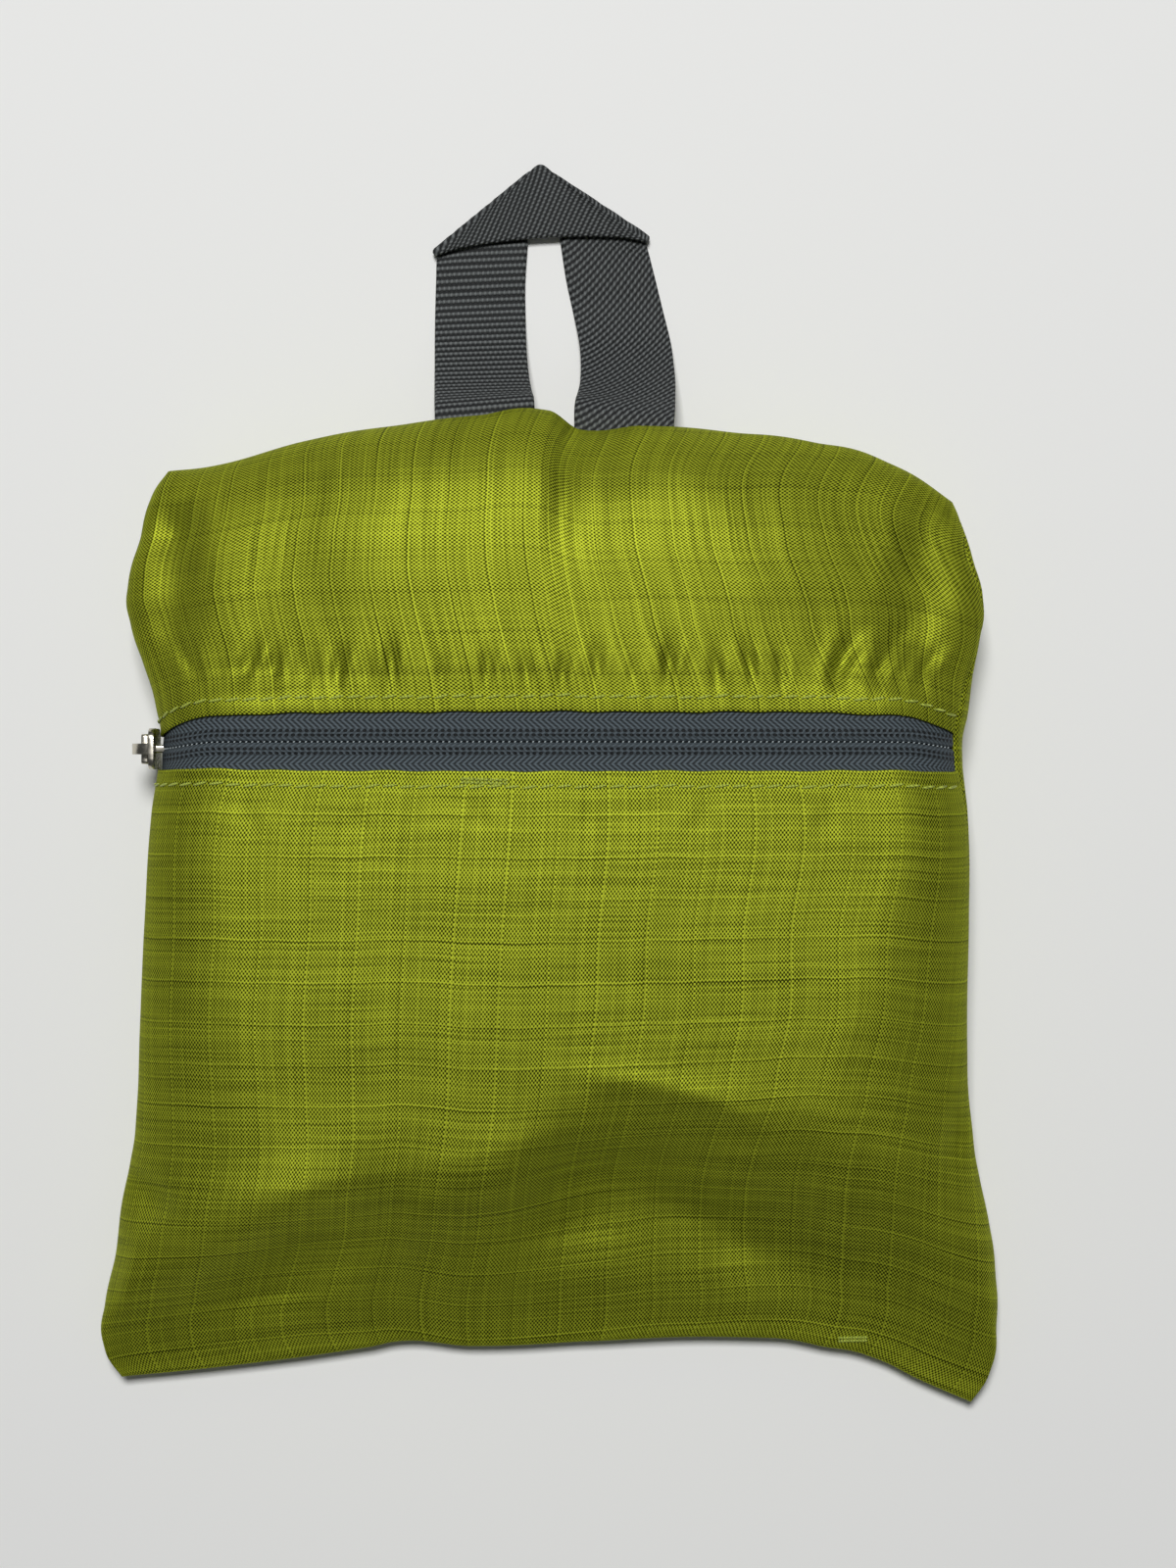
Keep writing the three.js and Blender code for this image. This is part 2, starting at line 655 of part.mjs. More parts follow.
function makeHangLoop() {
  const leftFold = rowAcross(peakPoint(loopPeak.leftShoulder), peakPoint(loopPeak.leftCrown));
  const rightFold = rowAcross(peakPoint(loopPeak.rightShoulder), peakPoint(loopPeak.rightCrown));
  const outwardOf = (line, way) => {
    const along = line[acrossCells].clone().sub(line[0]).normalize();
    return new THREE.Vector3(-along.y * way, along.x * way, 0);
  };
  const leftLeg = legRows('left', -1);
  const rightLeg = legRows('right', 1);
  const bandRise = new THREE.Vector3(0, 0, 2 * foldRadius);
  const overLeft = foldRows(leftFold, outwardOf(leftFold, 1), 1);
  const overRight = foldRows(rightFold.map((p) => p.clone().add(bandRise)), outwardOf(rightFold, -1), -1);
  const band = betweenRows(overLeft.at(-1), overRight[0], bandRows);
  band.forEach((row, i) => {
    const arc = Math.sin(Math.PI * (i + 1) / (band.length + 1)) ** loopPeak.bowRoundness;
    const bow = arc * loopReach;
    row.forEach((point, k) => {
      point.y += bow * lerp(loopPeak.edgeBow, loopPeak.crownBow, k / acrossCells);
    });
  });
  const rows = [
    ...leftLeg,
    ...betweenRows(leftLeg.at(-1), leftFold, legGapRows),
    ...overLeft,
    ...band,
    ...overRight,
    ...betweenRows(rightFold, rightLeg.at(-1), legGapRows),
    ...rightLeg.reverse(),
  ];
  const normals = rows.map((row, i) => {
    const before = rows[Math.max(i - 1, 0)];
    const after = rows[Math.min(i + 1, rows.length - 1)];
    const half = acrossCells / 2;
    const along = after[half].clone().sub(before[half]);
    return row[acrossCells].clone().sub(row[0]).cross(along).normalize();
  });
  const layer = (way) => rows.map((row, i) => row.map(
    (point) => point.clone().addScaledVector(normals[i], way * webbingThickness / 2)));
  return wallBetween(layer(1), layer(-1));
}

function toSolid(geometry) {
  const bare = geometry.clone();
  bare.deleteAttribute('normal');
  bare.deleteAttribute('uv');
  const merged = mergeVertices(bare, mergeDistance);
  return new wasm.Manifold(new wasm.Mesh({
    numProp: 3,
    vertProperties: new Float32Array(merged.attributes.position.array),
    triVerts: new Uint32Array(merged.index.array),
  }));
}

function fromSolid(solid) {
  const mesh = solid.getMesh();
  const geometry = new THREE.BufferGeometry();
  geometry.setAttribute('position', new THREE.BufferAttribute(new Float32Array(mesh.vertProperties), 3));
  geometry.setIndex(new THREE.BufferAttribute(new Uint32Array(mesh.triVerts), 1));
  geometry.computeVertexNormals();
  return geometry;
}

function roundedRectangle(width, height, corner) {
  const shape = new THREE.Shape();
  const x = width / 2;
  const y = height / 2;
  shape.moveTo(x, -y + corner);
  shape.absarc(x - corner, y - corner, corner, 0, halfPi);
  shape.absarc(-x + corner, y - corner, corner, halfPi, Math.PI);
  shape.absarc(-x + corner, -y + corner, corner, Math.PI, 3 * halfPi);
  shape.absarc(x - corner, -y + corner, corner, 3 * halfPi, 4 * halfPi);
  return shape;
}

// The slider stands on the left flank at the zip's end, with its plates on both sides of the cloth.
const plateRows = plateShares.map((share) => share * sliderWidth / lowerLength);
const widestUnderPlate = Math.max(...plateRows.map((w) => leftOutline(w))) * halfWidth;
const plateInner = -widestUnderPlate - pieceGap;
const plateOuter = plateInner - plateThickness;
const sliderY = zipLine(-1);
const sliderZ = waistAt(-1, 0);

const plateSpacing = clothWall + tapeWall + 2 * pieceGap + plateSlack;
const upward = new THREE.Vector3(0, 0, 1);
const acrossZip = new THREE.Vector3(0, 1, 0);
const outwards = new THREE.Vector3(-1, 0, 0);

// An outline in the pouch's Y and Z, extruded along X between two faces.
function standUp(shape, fromX, toX, y, z) {
  const settings = { depth: toX - fromX, bevelEnabled: false, curveSegments: cornerSegments };
  const geometry = new THREE.ExtrudeGeometry(shape, settings);
  geometry.applyMatrix4(new THREE.Matrix4().makeBasis(acrossZip, upward, outwards.clone().negate()));
  geometry.translate(fromX, y, z);
  return geometry;
}

// The bridge on the outer plate that the pull's eye hangs in.
function makeArch() {
  const archInner = archOuter - archThickness;
  const foot = -plateThickness / 2;
  const shape = new THREE.Shape();
  shape.moveTo(archOuter, foot);
  shape.absarc(0, 0, archOuter, 0, Math.PI, false);
  shape.lineTo(-archOuter, foot);
  shape.lineTo(-archInner, foot);
  shape.absarc(0, 0, archInner, Math.PI, 0, true);
  shape.lineTo(archInner, foot);
  const settings = { depth: archWidth, bevelEnabled: false, curveSegments: archSegments };
  const geometry = new THREE.ExtrudeGeometry(shape, settings);
  geometry.translate(0, 0, -archWidth / 2);
  geometry.applyMatrix4(new THREE.Matrix4().makeBasis(upward, outwards, acrossZip.clone().negate()));
  geometry.translate(plateOuter, sliderY, sliderZ);
  return geometry;
}

function makeSlider() {
  const plate = roundedRectangle(sliderWidth, sliderLength, plateCorner);
  const neck = roundedRectangle(neckWidth, neckLength, neckWidth / 4);
  const insideFace = plateInner + plateSpacing;
  const overlap = plateThickness / 2;
  return fromSolid(toSolid(standUp(plate, plateOuter, plateInner, sliderY, sliderZ))
    .add(toSolid(standUp(plate, insideFace, insideFace + plateThickness, sliderY, sliderZ)))
    .add(toSolid(standUp(neck, plateInner - overlap, insideFace + overlap, sliderY, sliderZ)))
    .add(toSolid(makeArch())));
}

// The pull hangs from its bar, which lies across the bridge at this mesh's own origin.
function makePull() {
  const bar = pullThickness / 2;
  const shape = new THREE.Shape();
  const half = pullWidth / 2;
  shape.moveTo(half, -pullReach + half);
  shape.lineTo(half, bar - pullCorner);
  shape.absarc(half - pullCorner, bar - pullCorner, pullCorner, 0, halfPi);
  shape.absarc(-half + pullCorner, bar - pullCorner, pullCorner, halfPi, Math.PI);
  shape.absarc(0, -pullReach + half, half, Math.PI, 2 * Math.PI);
  const eye = new THREE.Path();
  const eyeHalf = pullEyeWidth / 2;
  eye.moveTo(eyeHalf, -bar);
  eye.lineTo(eyeHalf, -pullEyeReach + eyeHalf);
  eye.absarc(0, -pullEyeReach + eyeHalf, eyeHalf, 0, -Math.PI, true);
  eye.lineTo(-eyeHalf, -bar);
  shape.holes.push(eye);
  return fromSolid(toSolid(standUp(shape, -bar, bar, 0, 0)));
}

const greenCloth = new THREE.MeshStandardMaterial({ color: 0x7f892a, roughness: 0.62, metalness: 0 });
const foldedCloth = new THREE.MeshStandardMaterial({ color: 0x69721f, roughness: 0.75, metalness: 0 });
const zipTape = new THREE.MeshStandardMaterial({ color: 0x3e464a, roughness: 0.8, metalness: 0 });
const zipCoil = new THREE.MeshStandardMaterial({ color: 0x31383c, roughness: 0.45, metalness: 0 });
const webbing = new THREE.MeshStandardMaterial({ color: 0x404141, roughness: 0.85, metalness: 0 });
const nickel = new THREE.MeshStandardMaterial({ color: 0xb4b2aa, roughness: 0.28, metalness: 1 });

function addPiece(parent, name, geometry, material) {
  const mesh = new THREE.Mesh(geometry, material);
  mesh.name = name;
  parent.add(mesh);
  return mesh;
}

const pouch = new THREE.Group();
addPiece(pouch, 'back_panel', makeBack(), greenCloth);
addPiece(pouch, 'front_panel_lower', makeFrontLower(), greenCloth);
addPiece(pouch, 'front_panel_upper', makeFrontUpper(), greenCloth);
addPiece(pouch, 'zipper_tape_lower', makeTape(-1), zipTape);
addPiece(pouch, 'zipper_tape_upper', makeTape(1), zipTape);
addPiece(pouch, 'zipper_coil', makeCoil(), zipCoil);
addPiece(pouch, 'zip_slider', makeSlider(), nickel);
addPiece(pouch, 'hang_loop', makeHangLoop(), webbing);
addPiece(pouch, 'packed_bag', makeBundle(), foldedCloth);
const pull = addPiece(pouch, 'pull_tab', makePull(), nickel);
pull.position.set(plateOuter - pullPivotOut, sliderY, sliderZ);

// The origin is under the middle of the whole piece, on the surface that it lies on.
const box = new THREE.Box3().setFromObject(pouch);
const middle = box.getCenter(new THREE.Vector3());
pouch.position.set(-middle.x, -middle.y, -box.min.z);

const group = new THREE.Group();
group.add(pouch);

export default group;
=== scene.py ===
# %% [markdown]
# # A packable backpack, folded into its own pouch
# The whole bag is stuffed into its front pocket, so what shows is a plump square pouch of ripstop
# nylon that lies on its back, with a zip across its front and a webbing loop at its top.
# The solid model gives the sizes and places. This script gives the looks: fine cloth, stitches,
# the weave of the tape and webbing, and the finish of each surface.

import math

import bmesh
import bpy
import numpy as np
from mathutils import Matrix, Vector, noise


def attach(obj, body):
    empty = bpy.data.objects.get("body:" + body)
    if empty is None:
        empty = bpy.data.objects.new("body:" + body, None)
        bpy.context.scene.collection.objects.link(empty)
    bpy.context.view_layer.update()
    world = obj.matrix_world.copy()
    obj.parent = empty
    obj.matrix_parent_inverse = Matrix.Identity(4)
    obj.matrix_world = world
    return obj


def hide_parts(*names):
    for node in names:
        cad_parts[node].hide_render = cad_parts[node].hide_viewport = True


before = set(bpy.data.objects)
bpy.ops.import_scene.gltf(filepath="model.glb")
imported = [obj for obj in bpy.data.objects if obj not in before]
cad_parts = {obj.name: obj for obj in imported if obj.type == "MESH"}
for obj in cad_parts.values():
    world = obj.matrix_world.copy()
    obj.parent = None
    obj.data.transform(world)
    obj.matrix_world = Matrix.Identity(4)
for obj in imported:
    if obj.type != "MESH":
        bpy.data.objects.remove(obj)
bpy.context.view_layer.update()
MM = 0.001

# %% [markdown]
# ## Camera, floor and light
# The photo looks straight down on the pouch from about 60 cm, with the light coming from beyond its
# top edge. A long lens that looks down, a pale floor and large soft lamps give the same picture.

# %% Colours come as sRGB hex values
def linear(hex_colour):
    """An sRGB hex colour as linear red, green, blue and alpha."""
    parts = [int(hex_colour[i:i + 2], 16) / 255 for i in (1, 3, 5)]
    return tuple(p / 12.92 if p <= 0.04045 else ((p + 0.055) / 1.055) ** 2.4 for p in parts) + (1.0,)


def add_node(tree, kind, settings=None, **inputs):
    """Adds a node. Each input is a value, an output socket, or a node, for its first output."""
    node = tree.nodes.new(kind)
    for name, value in (settings or {}).items():
        setattr(node, name, value)
    for name, value in inputs.items():
        key = int(name[1:]) if name[0] == "i" and name[1:].isdigit() else name.replace("_", " ")
        socket = node.inputs[key]
        if isinstance(value, bpy.types.Node):
            value = value.outputs[0]
        if isinstance(value, bpy.types.NodeSocket):
            tree.links.new(value, socket)
        else:
            socket.default_value = value
    return node


def new_material(name):
    """A material with only an output node, and its node tree."""
    material = bpy.data.materials.new(name)
    material.use_nodes = True
    tree = material.node_tree
    tree.nodes.clear()
    return material, tree


print("cloth green, linear:", [round(c, 3) for c in linear("#8b9529")[:3]])

# %% Camera
CAMERA_HEIGHT = 600
FRAME_LENGTH = 1600 / 4.8
SENSOR = 36
camera_data = bpy.data.cameras.new("camera")
camera_data.sensor_width = SENSOR
camera_data.lens = SENSOR * CAMERA_HEIGHT / FRAME_LENGTH
camera_data.clip_start = 0.01
camera = bpy.data.objects.new("camera", camera_data)
camera.location = Vector((8.17, -0.43, CAMERA_HEIGHT)) * MM
bpy.context.scene.collection.objects.link(camera)
bpy.context.scene.camera = camera
print("lens, mm:", round(camera_data.lens, 1))

# %% Floor
FLOOR_SIZE = 4.0
floor_mesh = bpy.data.meshes.new("floor")
floor_bm = bmesh.new()
bmesh.ops.create_grid(floor_bm, x_segments=1, y_segments=1, size=FLOOR_SIZE / 2)
floor_bm.to_mesh(floor_mesh)
floor_bm.free()
floor = bpy.data.objects.new("floor", floor_mesh)
bpy.context.scene.collection.objects.link(floor)
floor_material, tree = new_material("matt_white_paper")
paper = add_node(tree, "ShaderNodeBsdfPrincipled", Base_Color=linear("#f4f4f2"), Roughness=0.9)
add_node(tree, "ShaderNodeOutputMaterial", Surface=paper.outputs["BSDF"])
floor_mesh.materials.append(floor_material)
print("floor side, m:", FLOOR_SIZE)

# %% Light
def add_lamp(name, place, size, power):
    """A square soft lamp that faces the pouch. Place and size in metres, power in watts."""
    data = bpy.data.lights.new(name, "AREA")
    data.size = size
    data.energy = power
    lamp = bpy.data.objects.new(name, data)
    lamp.location = place
    lamp.rotation_euler = (-Vector(place)).to_track_quat("-Z", "Y").to_euler()
    bpy.context.scene.collection.objects.link(lamp)
    return lamp


add_lamp("window", (-0.07, 0.56, 1.53), 0.40, 21)
add_lamp("fill", (0.5, -0.2, 1.7), 1.2, 0.4)
world = bpy.data.worlds.new("room")
world.use_nodes = True
world.node_tree.nodes["Background"].inputs["Color"].default_value = linear("#e9eef2")
world.node_tree.nodes["Background"].inputs["Strength"].default_value = 0.08
bpy.context.scene.world = world
bpy.context.scene.view_settings.view_transform = "Standard"

# %% [markdown]
# ## The pouch's form
# The solid model's skin follows a few tables: the outline of the sides, the bottom and the top, the
# height of the widest line, the width of the rounded flanks, and the main folds. The same tables are
# used here, so that a fine cloth follows the solids exactly. All values are in millimetres.

# %% Sizes
POUCH_WIDTH, LOWER_LENGTH, UPPER_LENGTH, THICKNESS = 176, 126, 67, 37
HALF_WIDTH = POUCH_WIDTH / 2
WALL, GAP = 1.0, 0.3
TAPE_REVEAL, ZIP_END_DROP = 5.9, 1.2
SIDE_BAND = 0.6
HEM_WAVE = 0.09
PLACE = np.array((1.6654, 7.9715, 0.15))
# Creases and tacks were read off the photo from this point of the pouch, its middle at the zip.
DRAWN_FROM = np.array((1.6654, 8.5976))
print("pouch, mm:", POUCH_WIDTH, "x", LOWER_LENGTH + UPPER_LENGTH, "x", THICKNESS)


# %% Smooth curves through short tables
def table(columns, *rows):
    """Rows of numbers as named columns."""
    return dict(zip(columns.split(), np.array(rows, float).T))


def curve(rows, column):
    """A smooth curve through a column of a table, held at its end values."""
    xs, ys = rows["at"], rows[column]
    low = np.maximum(np.arange(len(xs)) - 1, 0)
    high = np.minimum(np.arange(len(xs)) + 1, len(xs) - 1)
    slopes = (ys[high] - ys[low]) / (xs[high] - xs[low])

    def value(x):
        x = np.clip(x, xs[0], xs[-1])
        i = np.clip(np.searchsorted(xs, x, side="left") - 1, 0, len(xs) - 2)
        span = xs[i + 1] - xs[i]
        t = (x - xs[i]) / span
        start = ys[i] + span * slopes[i] * t
        end = ys[i + 1] - span * slopes[i + 1] * (1 - t)
        blend = t * t * (3 - 2 * t)
        return start * (1 - blend) + end * blend

    return value


SIDES = table(
    "at left right",
    (-1.00, 1.041, 0.990), (-0.95, 1.080, 1.034), (-0.88, 1.078, 1.048), (-0.80, 1.051, 1.045),
    (-0.72, 1.034, 1.027), (-0.65, 1.010, 1.002), (-0.58, 0.993, 0.983), (-0.45, 0.980, 0.966),
    (-0.25, 0.963, 0.967), (-0.10, 0.947, 0.963), (0.00, 0.928, 0.949), (0.14, 0.934, 0.962),
    (0.30, 0.963, 0.973), (0.45, 0.994, 0.990), (0.58, 1.000, 0.998), (0.75, 0.973, 0.977),
    (0.90, 0.950, 0.952), (1.00, 0.911, 0.930),
)
BOTTOM = table(
    "at drop",
    (-1.00, 1.058), (-0.70, 1.036), (-0.42, 1.009), (-0.32, 0.998), (-0.18, 1.007), (0.10, 0.999),
    (0.50, 0.993), (0.66, 1.009), (0.77, 1.026), (0.87, 1.060), (1.00, 1.100),
)
TOP = table(
    "at rise",
    (-1.00, 0.839), (-0.85, 0.862), (-0.65, 0.928), (-0.40, 0.977), (-0.20, 1.006), (-0.03, 1.020),
    (0.05, 0.962), (0.20, 0.973), (0.45, 0.952), (0.65, 0.923), (0.84, 0.860), (1.00, 0.742),
)
WAIST = table(
    "at height",
    (-1.00, 0.13), (-0.85, 0.17), (-0.65, 0.29), (-0.45, 0.41), (-0.20, 0.47), (0.00, 0.49),
    (0.50, 0.53), (0.85, 0.48), (1.00, 0.43),
)
SEAMS = table(
    "at left right",
    (-1.00, 0, 0), (-0.80, 0, 0), (-0.50, -14, 4), (-0.15, -34, 12), (0.00, -38, 26),
    (0.20, -38, 24), (0.45, -34, 4), (0.70, -22, 14), (0.88, -6, 8), (1.00, 0, 0),
)
FLANKS = table(
    "at left right",
    (-1.00, 0.42, 0.58), (-0.75, 0.42, 0.56), (-0.55, 0.33, 0.38), (-0.30, 0.23, 0.25),
    (0.00, 0.21, 0.21), (0.40, 0.29, 0.38), (0.75, 0.36, 0.50), (1.00, 0.34, 0.42),
)
SLOPE = table(
    "at reach",
    (-1.0, 0.30), (-0.5, 0.31), (-0.2, 0.34), (0.1, 0.40), (0.4, 0.43), (0.7, 0.40), (1.0, 0.36),
)
CROWN = table(
    "at height",
    (-1.00, 0.80), (-0.60, 0.90), (-0.30, 0.96), (0.00, 0.97), (0.40, 1.00), (0.75, 0.98),
    (1.00, 0.92),
)
FOLDS = table(
    "x y along across turn lift",
    (-0.62, -0.86, 0.72, 0.22, 40, -0.080), (-0.35, -0.80, 0.30, 0.11, 50, 0.045),
    (-0.12, -0.80, 0.62, 0.20, 12, -0.055), (0.26, -0.575, 0.46, 0.12, -14, 0.030),
    (0.20, -0.67, 0.40, 0.15, 10, -0.045), (0.45, -0.835, 0.72, 0.20, -42, -0.045),
    (0.34, -0.93, 0.62, 0.17, -8, 0.030), (0.78, -0.95, 0.45, 0.12, -50, 0.030),
    (-0.95, -0.735, 0.15, 0.10, -30, -0.065), (-1.00, -0.885, 0.26, 0.07, 75, 0.035),
    (0.93, -0.66, 0.22, 0.08, 75, -0.040), (0.035, 0.91, 0.22, 0.08, 80, -0.075),
    (0.02, 0.74, 0.34, 0.08, 84, -0.028), (0.165, 0.85, 0.20, 0.14, 40, -0.030),
    (-0.48, 0.40, 0.46, 0.20, -48, -0.012), (0.46, 0.68, 0.48, 0.20, -70, -0.012),
    (0.43, 0.30, 0.32, 0.18, 24, -0.012), (0.80, 0.41, 0.52, 0.12, 60, 0.030),
    (-0.88, 0.64, 0.16, 0.10, 70, -0.050), (0.87, 0.70, 0.14, 0.10, -20, -0.045),
)
HEMS = table(
    "at upper lower",
    (-1.00, 0.44, 0.70), (-0.94, 0.74, 0.78), (-0.80, 0.90, 0.90), (-0.40, 1.00, 0.97),
    (0.30, 1.00, 0.97), (0.80, 0.90, 0.94), (0.94, 0.62, 0.86), (1.00, 0.34, 0.56),
)
BACK_FLANK, TOP_ROUND, BACK_TOP_ROUND, BACK_BOTTOM_ROUND = 0.21, 0.34, 0.3, 0.13
SLOPE_START, CROWN_FALL, TOP_WAIST_RISE = 0.22, 0.07, 0.10
left_side, right_side = curve(SIDES, "left"), curve(SIDES, "right")
bottom_drop, top_rise = curve(BOTTOM, "drop"), curve(TOP, "rise")
waist_share, crown_share = curve(WAIST, "height"), curve(CROWN, "height")
left_seam, right_seam = curve(SEAMS, "left"), curve(SEAMS, "right")
left_flank, right_flank = curve(FLANKS, "left"), curve(FLANKS, "right")
slope_reach = curve(SLOPE, "reach")
upper_reveal, lower_reveal = curve(HEMS, "upper"), curve(HEMS, "lower")
print("half width at the zip, mm:", left_side(0.0) * HALF_WIDTH, right_side(0.0) * HALF_WIDTH)

# %% [markdown]
# ## Creases
# Stuffed nylon has two kinds of folds. Long soft dents end in one crisp ridge, where the cloth breaks
# over the bundle inside. Short puckers stand in rows beside the stitching, because the thread draws
# the cloth in. A sculpting brush or a cloth simulation could make them; here each one is a row of a
# table read off the photo, so that it lies where the real one does.

# %% Dents with one crisp edge, and puckers
def ease(t):
    """A smooth step from 0 to 1."""
    t = np.clip(t, 0, 1)
    return t * t * (3 - 2 * t)


# A dent's crisp edge runs from a start over a bend to an end. The cloth falls on its lower side
# (lift is below 0) over the first width, and comes back over the second.
DENTS = table(
    "x0 y0 x1 y1 x2 y2 fall back lift",
    (-96, -84, -72, -82, -44, -66, 20, 12, 2.4),
    (-94, -126, -63, -76, -25, -79, 12, 30, -4.8),
    (-27, -100, -9, -66, 20, -70, 12, 30, -2.4),
    (6, -60, 30, -57, 46, -72, 6, 12, -2.4),
    (-6, -61, 58, -68, 102, -136, 18, 40, -9.0),
    (-93, -75, -84, -76, -74, -85, 6, 9, -2.8),
    (-91, -96, -89, -103, -87, -109, 1.5, 6, -0.9),
    (83, -64, 88, -71, 84, -79, 2, 6, -1.0),
    (36, 23, 54, 48, 12, 71, 26, 40, -3.6),
    (-25, 66, -42, 38, -30, 17, 26, 60, -3.2),
    (-74, 64, -62, 44, -72, 20, 8, 10, -2.6),
    (62, 27, 67, 42, 72, 58, 8, 11, -2.6),
)
# The zip is stiff, so the dents fade out between these distances from it.
DENTS_FROM_ZIP = (7, 15)
# How far the cloth starts to fall before the crisp edge, how fast a dent dies out past its two ends,
# and how many steps its bend has.
EDGE_START, END_FADE, BEND_STEPS = 0.8, 8, 25
# A pucker stands across a seam: its foot, how long and wide it is, its lean and its depth.
PUCKERS = table(
    "x y length width lean lift",
    (-61, 22, 9, 1.5, 0.30, -1.1), (-55, 22, 8, 1.2, 0.10, -0.7), (-48, 21, 6, 1.1, 0.05, -0.4),
    (-42, 21, 9, 1.4, 0.10, -1.1), (-36, 21, 6, 1.1, 0.0, -0.4), (-31, 22, 9, 1.3, -0.05, -1.1),
    (-21, 21, 6, 1.2, 0.0, -0.5), (-12, 21, 9, 1.4, 0.05, -0.8), (-4, 21, 7, 1.2, -0.1, -0.7),
    (3, 21, 8, 1.2, 0.1, -0.8), (10, 22, 9, 1.3, 0.0, -0.7), (17, 21, 6, 1.1, 0.1, -0.4),
    (24, 22, 9, 1.4, 0.12, -1.0), (34, 21, 8, 1.3, -0.10, -0.9), (41, 22, 9, 1.2, -0.2, -1.1),
    (47, 21, 8, 1.2, -0.1, -0.8), (58, 22, 12, 2.0, 0.45, -1.4), (66, 22, 12, 1.8, 0.55, -1.1),
    (75, 21, 10, 1.6, 0.6, -1.0), (-71, 22, 10, 1.6, -0.5, -0.9),
    (-60, -5, 7, 2.2, 0.05, -0.22), (-38, -5, 6, 1.8, -0.05, -0.2), (-14, -5, 7, 2.4, 0.1, -0.25),
    (8, -5, 6, 2.0, 0.0, -0.18), (31, -5, 7, 2.2, -0.08, -0.22), (56, -5, 7, 2.4, 0.1, -0.25),
)


def dent_lift(x, y):
    """Height that the dents add at plan points, in millimetres."""
    lift = np.zeros_like(x)
    t = np.linspace(0, 1, BEND_STEPS)
    for i in range(len(DENTS["x0"])):
        x0, y0, x1, y1, x2, y2, fall, back, depth = (DENTS[k][i] for k in DENTS)
        px = (1 - t) ** 2 * x0 + 2 * t * (1 - t) * x1 + t * t * x2
        py = (1 - t) ** 2 * y0 + 2 * t * (1 - t) * y1 + t * t * y2
        nearest = np.full(x.shape, 1e9)
        along = np.zeros_like(x)
        below = np.zeros_like(x)
        for k in range(len(t) - 1):
            ex, ey = px[k + 1] - px[k], py[k + 1] - py[k]
            length = math.hypot(ex, ey)
            s = np.clip(((x - px[k]) * ex + (y - py[k]) * ey) / length ** 2, 0, 1)
            dx, dy = x - px[k] - s * ex, y - py[k] - s * ey
            distance = np.hypot(dx, dy)
            closer = distance < nearest
            nearest = np.where(closer, distance, nearest)
            along = np.where(closer, t[k] + s * (t[1] - t[0]), along)
            below = np.where(closer, (x - px[k]) * ey / length - (y - py[k]) * ex / length, below)
        signed = np.where(below > 0, nearest, -nearest)
        rise = ease(1 - np.abs(2 * along - 1) ** 3)
        profile = np.where(signed < fall, ease((signed + EDGE_START) / (fall + EDGE_START)),
                           1 - ease((signed - fall) / back))
        beyond = np.maximum(nearest - np.abs(below), 0)
        lift += depth * profile * rise * np.exp(-(beyond / END_FADE) ** 2)
    return lift


# A pucker is deepest a little way up from its foot, and a low rim stands at each side of it.
DEEPEST_AT, FADE_SHARE = 0.25, 0.42
RIM_SHARE, RIM_AT, RIM_WIDTH = 0.45, 1.8, 0.8


def pucker_lift(x, y):
    """Height that the puckers add at plan points, in millimetres."""
    lift = np.zeros_like(x)
    for i in range(len(PUCKERS["x"])):
        px, py, length, width, lean, depth = (PUCKERS[k][i] for k in PUCKERS)
        way = 1 if py > 0 else -1
        up = (y - py) * way / length
        aside = (x - px - lean * length * np.maximum(up, 0)) / (width * (0.75 + 0.5 * np.clip(up, 0, 1)))
        tall = np.exp(-((up - DEEPEST_AT) / FADE_SHARE) ** 2)
        rim = RIM_SHARE * np.exp(-((np.abs(aside) - RIM_AT) / RIM_WIDTH) ** 2)
        lift += depth * tall * (np.exp(-aside ** 2) - rim)
    return lift


print("dents:", len(DENTS["x0"]), "puckers:", len(PUCKERS["x"]))


# %% The skin of the pouch
ZIP_DROP_START, ZIP_DROP_SHARE = 0.84, 0.16
HIP_SHARPNESS = 3.5


def side_x(side, w):
    return np.where(side < 0, -left_side(w), right_side(w)) * HALF_WIDTH


def edge_length(q, w):
    return np.where(w < 0, bottom_drop(q) * LOWER_LENGTH, top_rise(q) * UPPER_LENGTH)


def zip_line(q):
    return -ZIP_END_DROP * ease((np.abs(q) - ZIP_DROP_START) / ZIP_DROP_SHARE)


def across_share(x, w):
    left, right = side_x(-1, w), side_x(1, w)
    return (2 * x - left - right) / (right - left)


def waist_at(q, w):
    return (waist_share(w) + TOP_WAIST_RISE * (1 - q * q) * ease(w)) * THICKNESS


def soft_least(a, b):
    """The smaller of two shares, with a rounded meeting line."""
    sharp = HIP_SHARPNESS
    a, b = np.maximum(a, 1e-6), np.maximum(b, 1e-6)
    return (a ** -sharp + b ** -sharp - 1) ** (-1 / sharp)


def round_rise(share):
    left = 1 - np.clip(share, 0, 1)
    return np.sqrt(1 - left * left)


def fold_lift(x, y):
    lift = np.zeros_like(x)
    for fx, fy, along, across, turn, height in zip(*FOLDS.values()):
        length = LOWER_LENGTH if fy < 0 else UPPER_LENGTH
        dx, dy = x - fx * HALF_WIDTH, y - fy * length
        cos, sin = math.cos(math.radians(turn)), math.sin(math.radians(turn))
        a = (dx * cos + dy * sin) / (along * THICKNESS)
        b = (dy * cos - dx * sin) / (across * THICKNESS)
        lift += height * THICKNESS * np.exp(-a * a - b * b)
    return lift


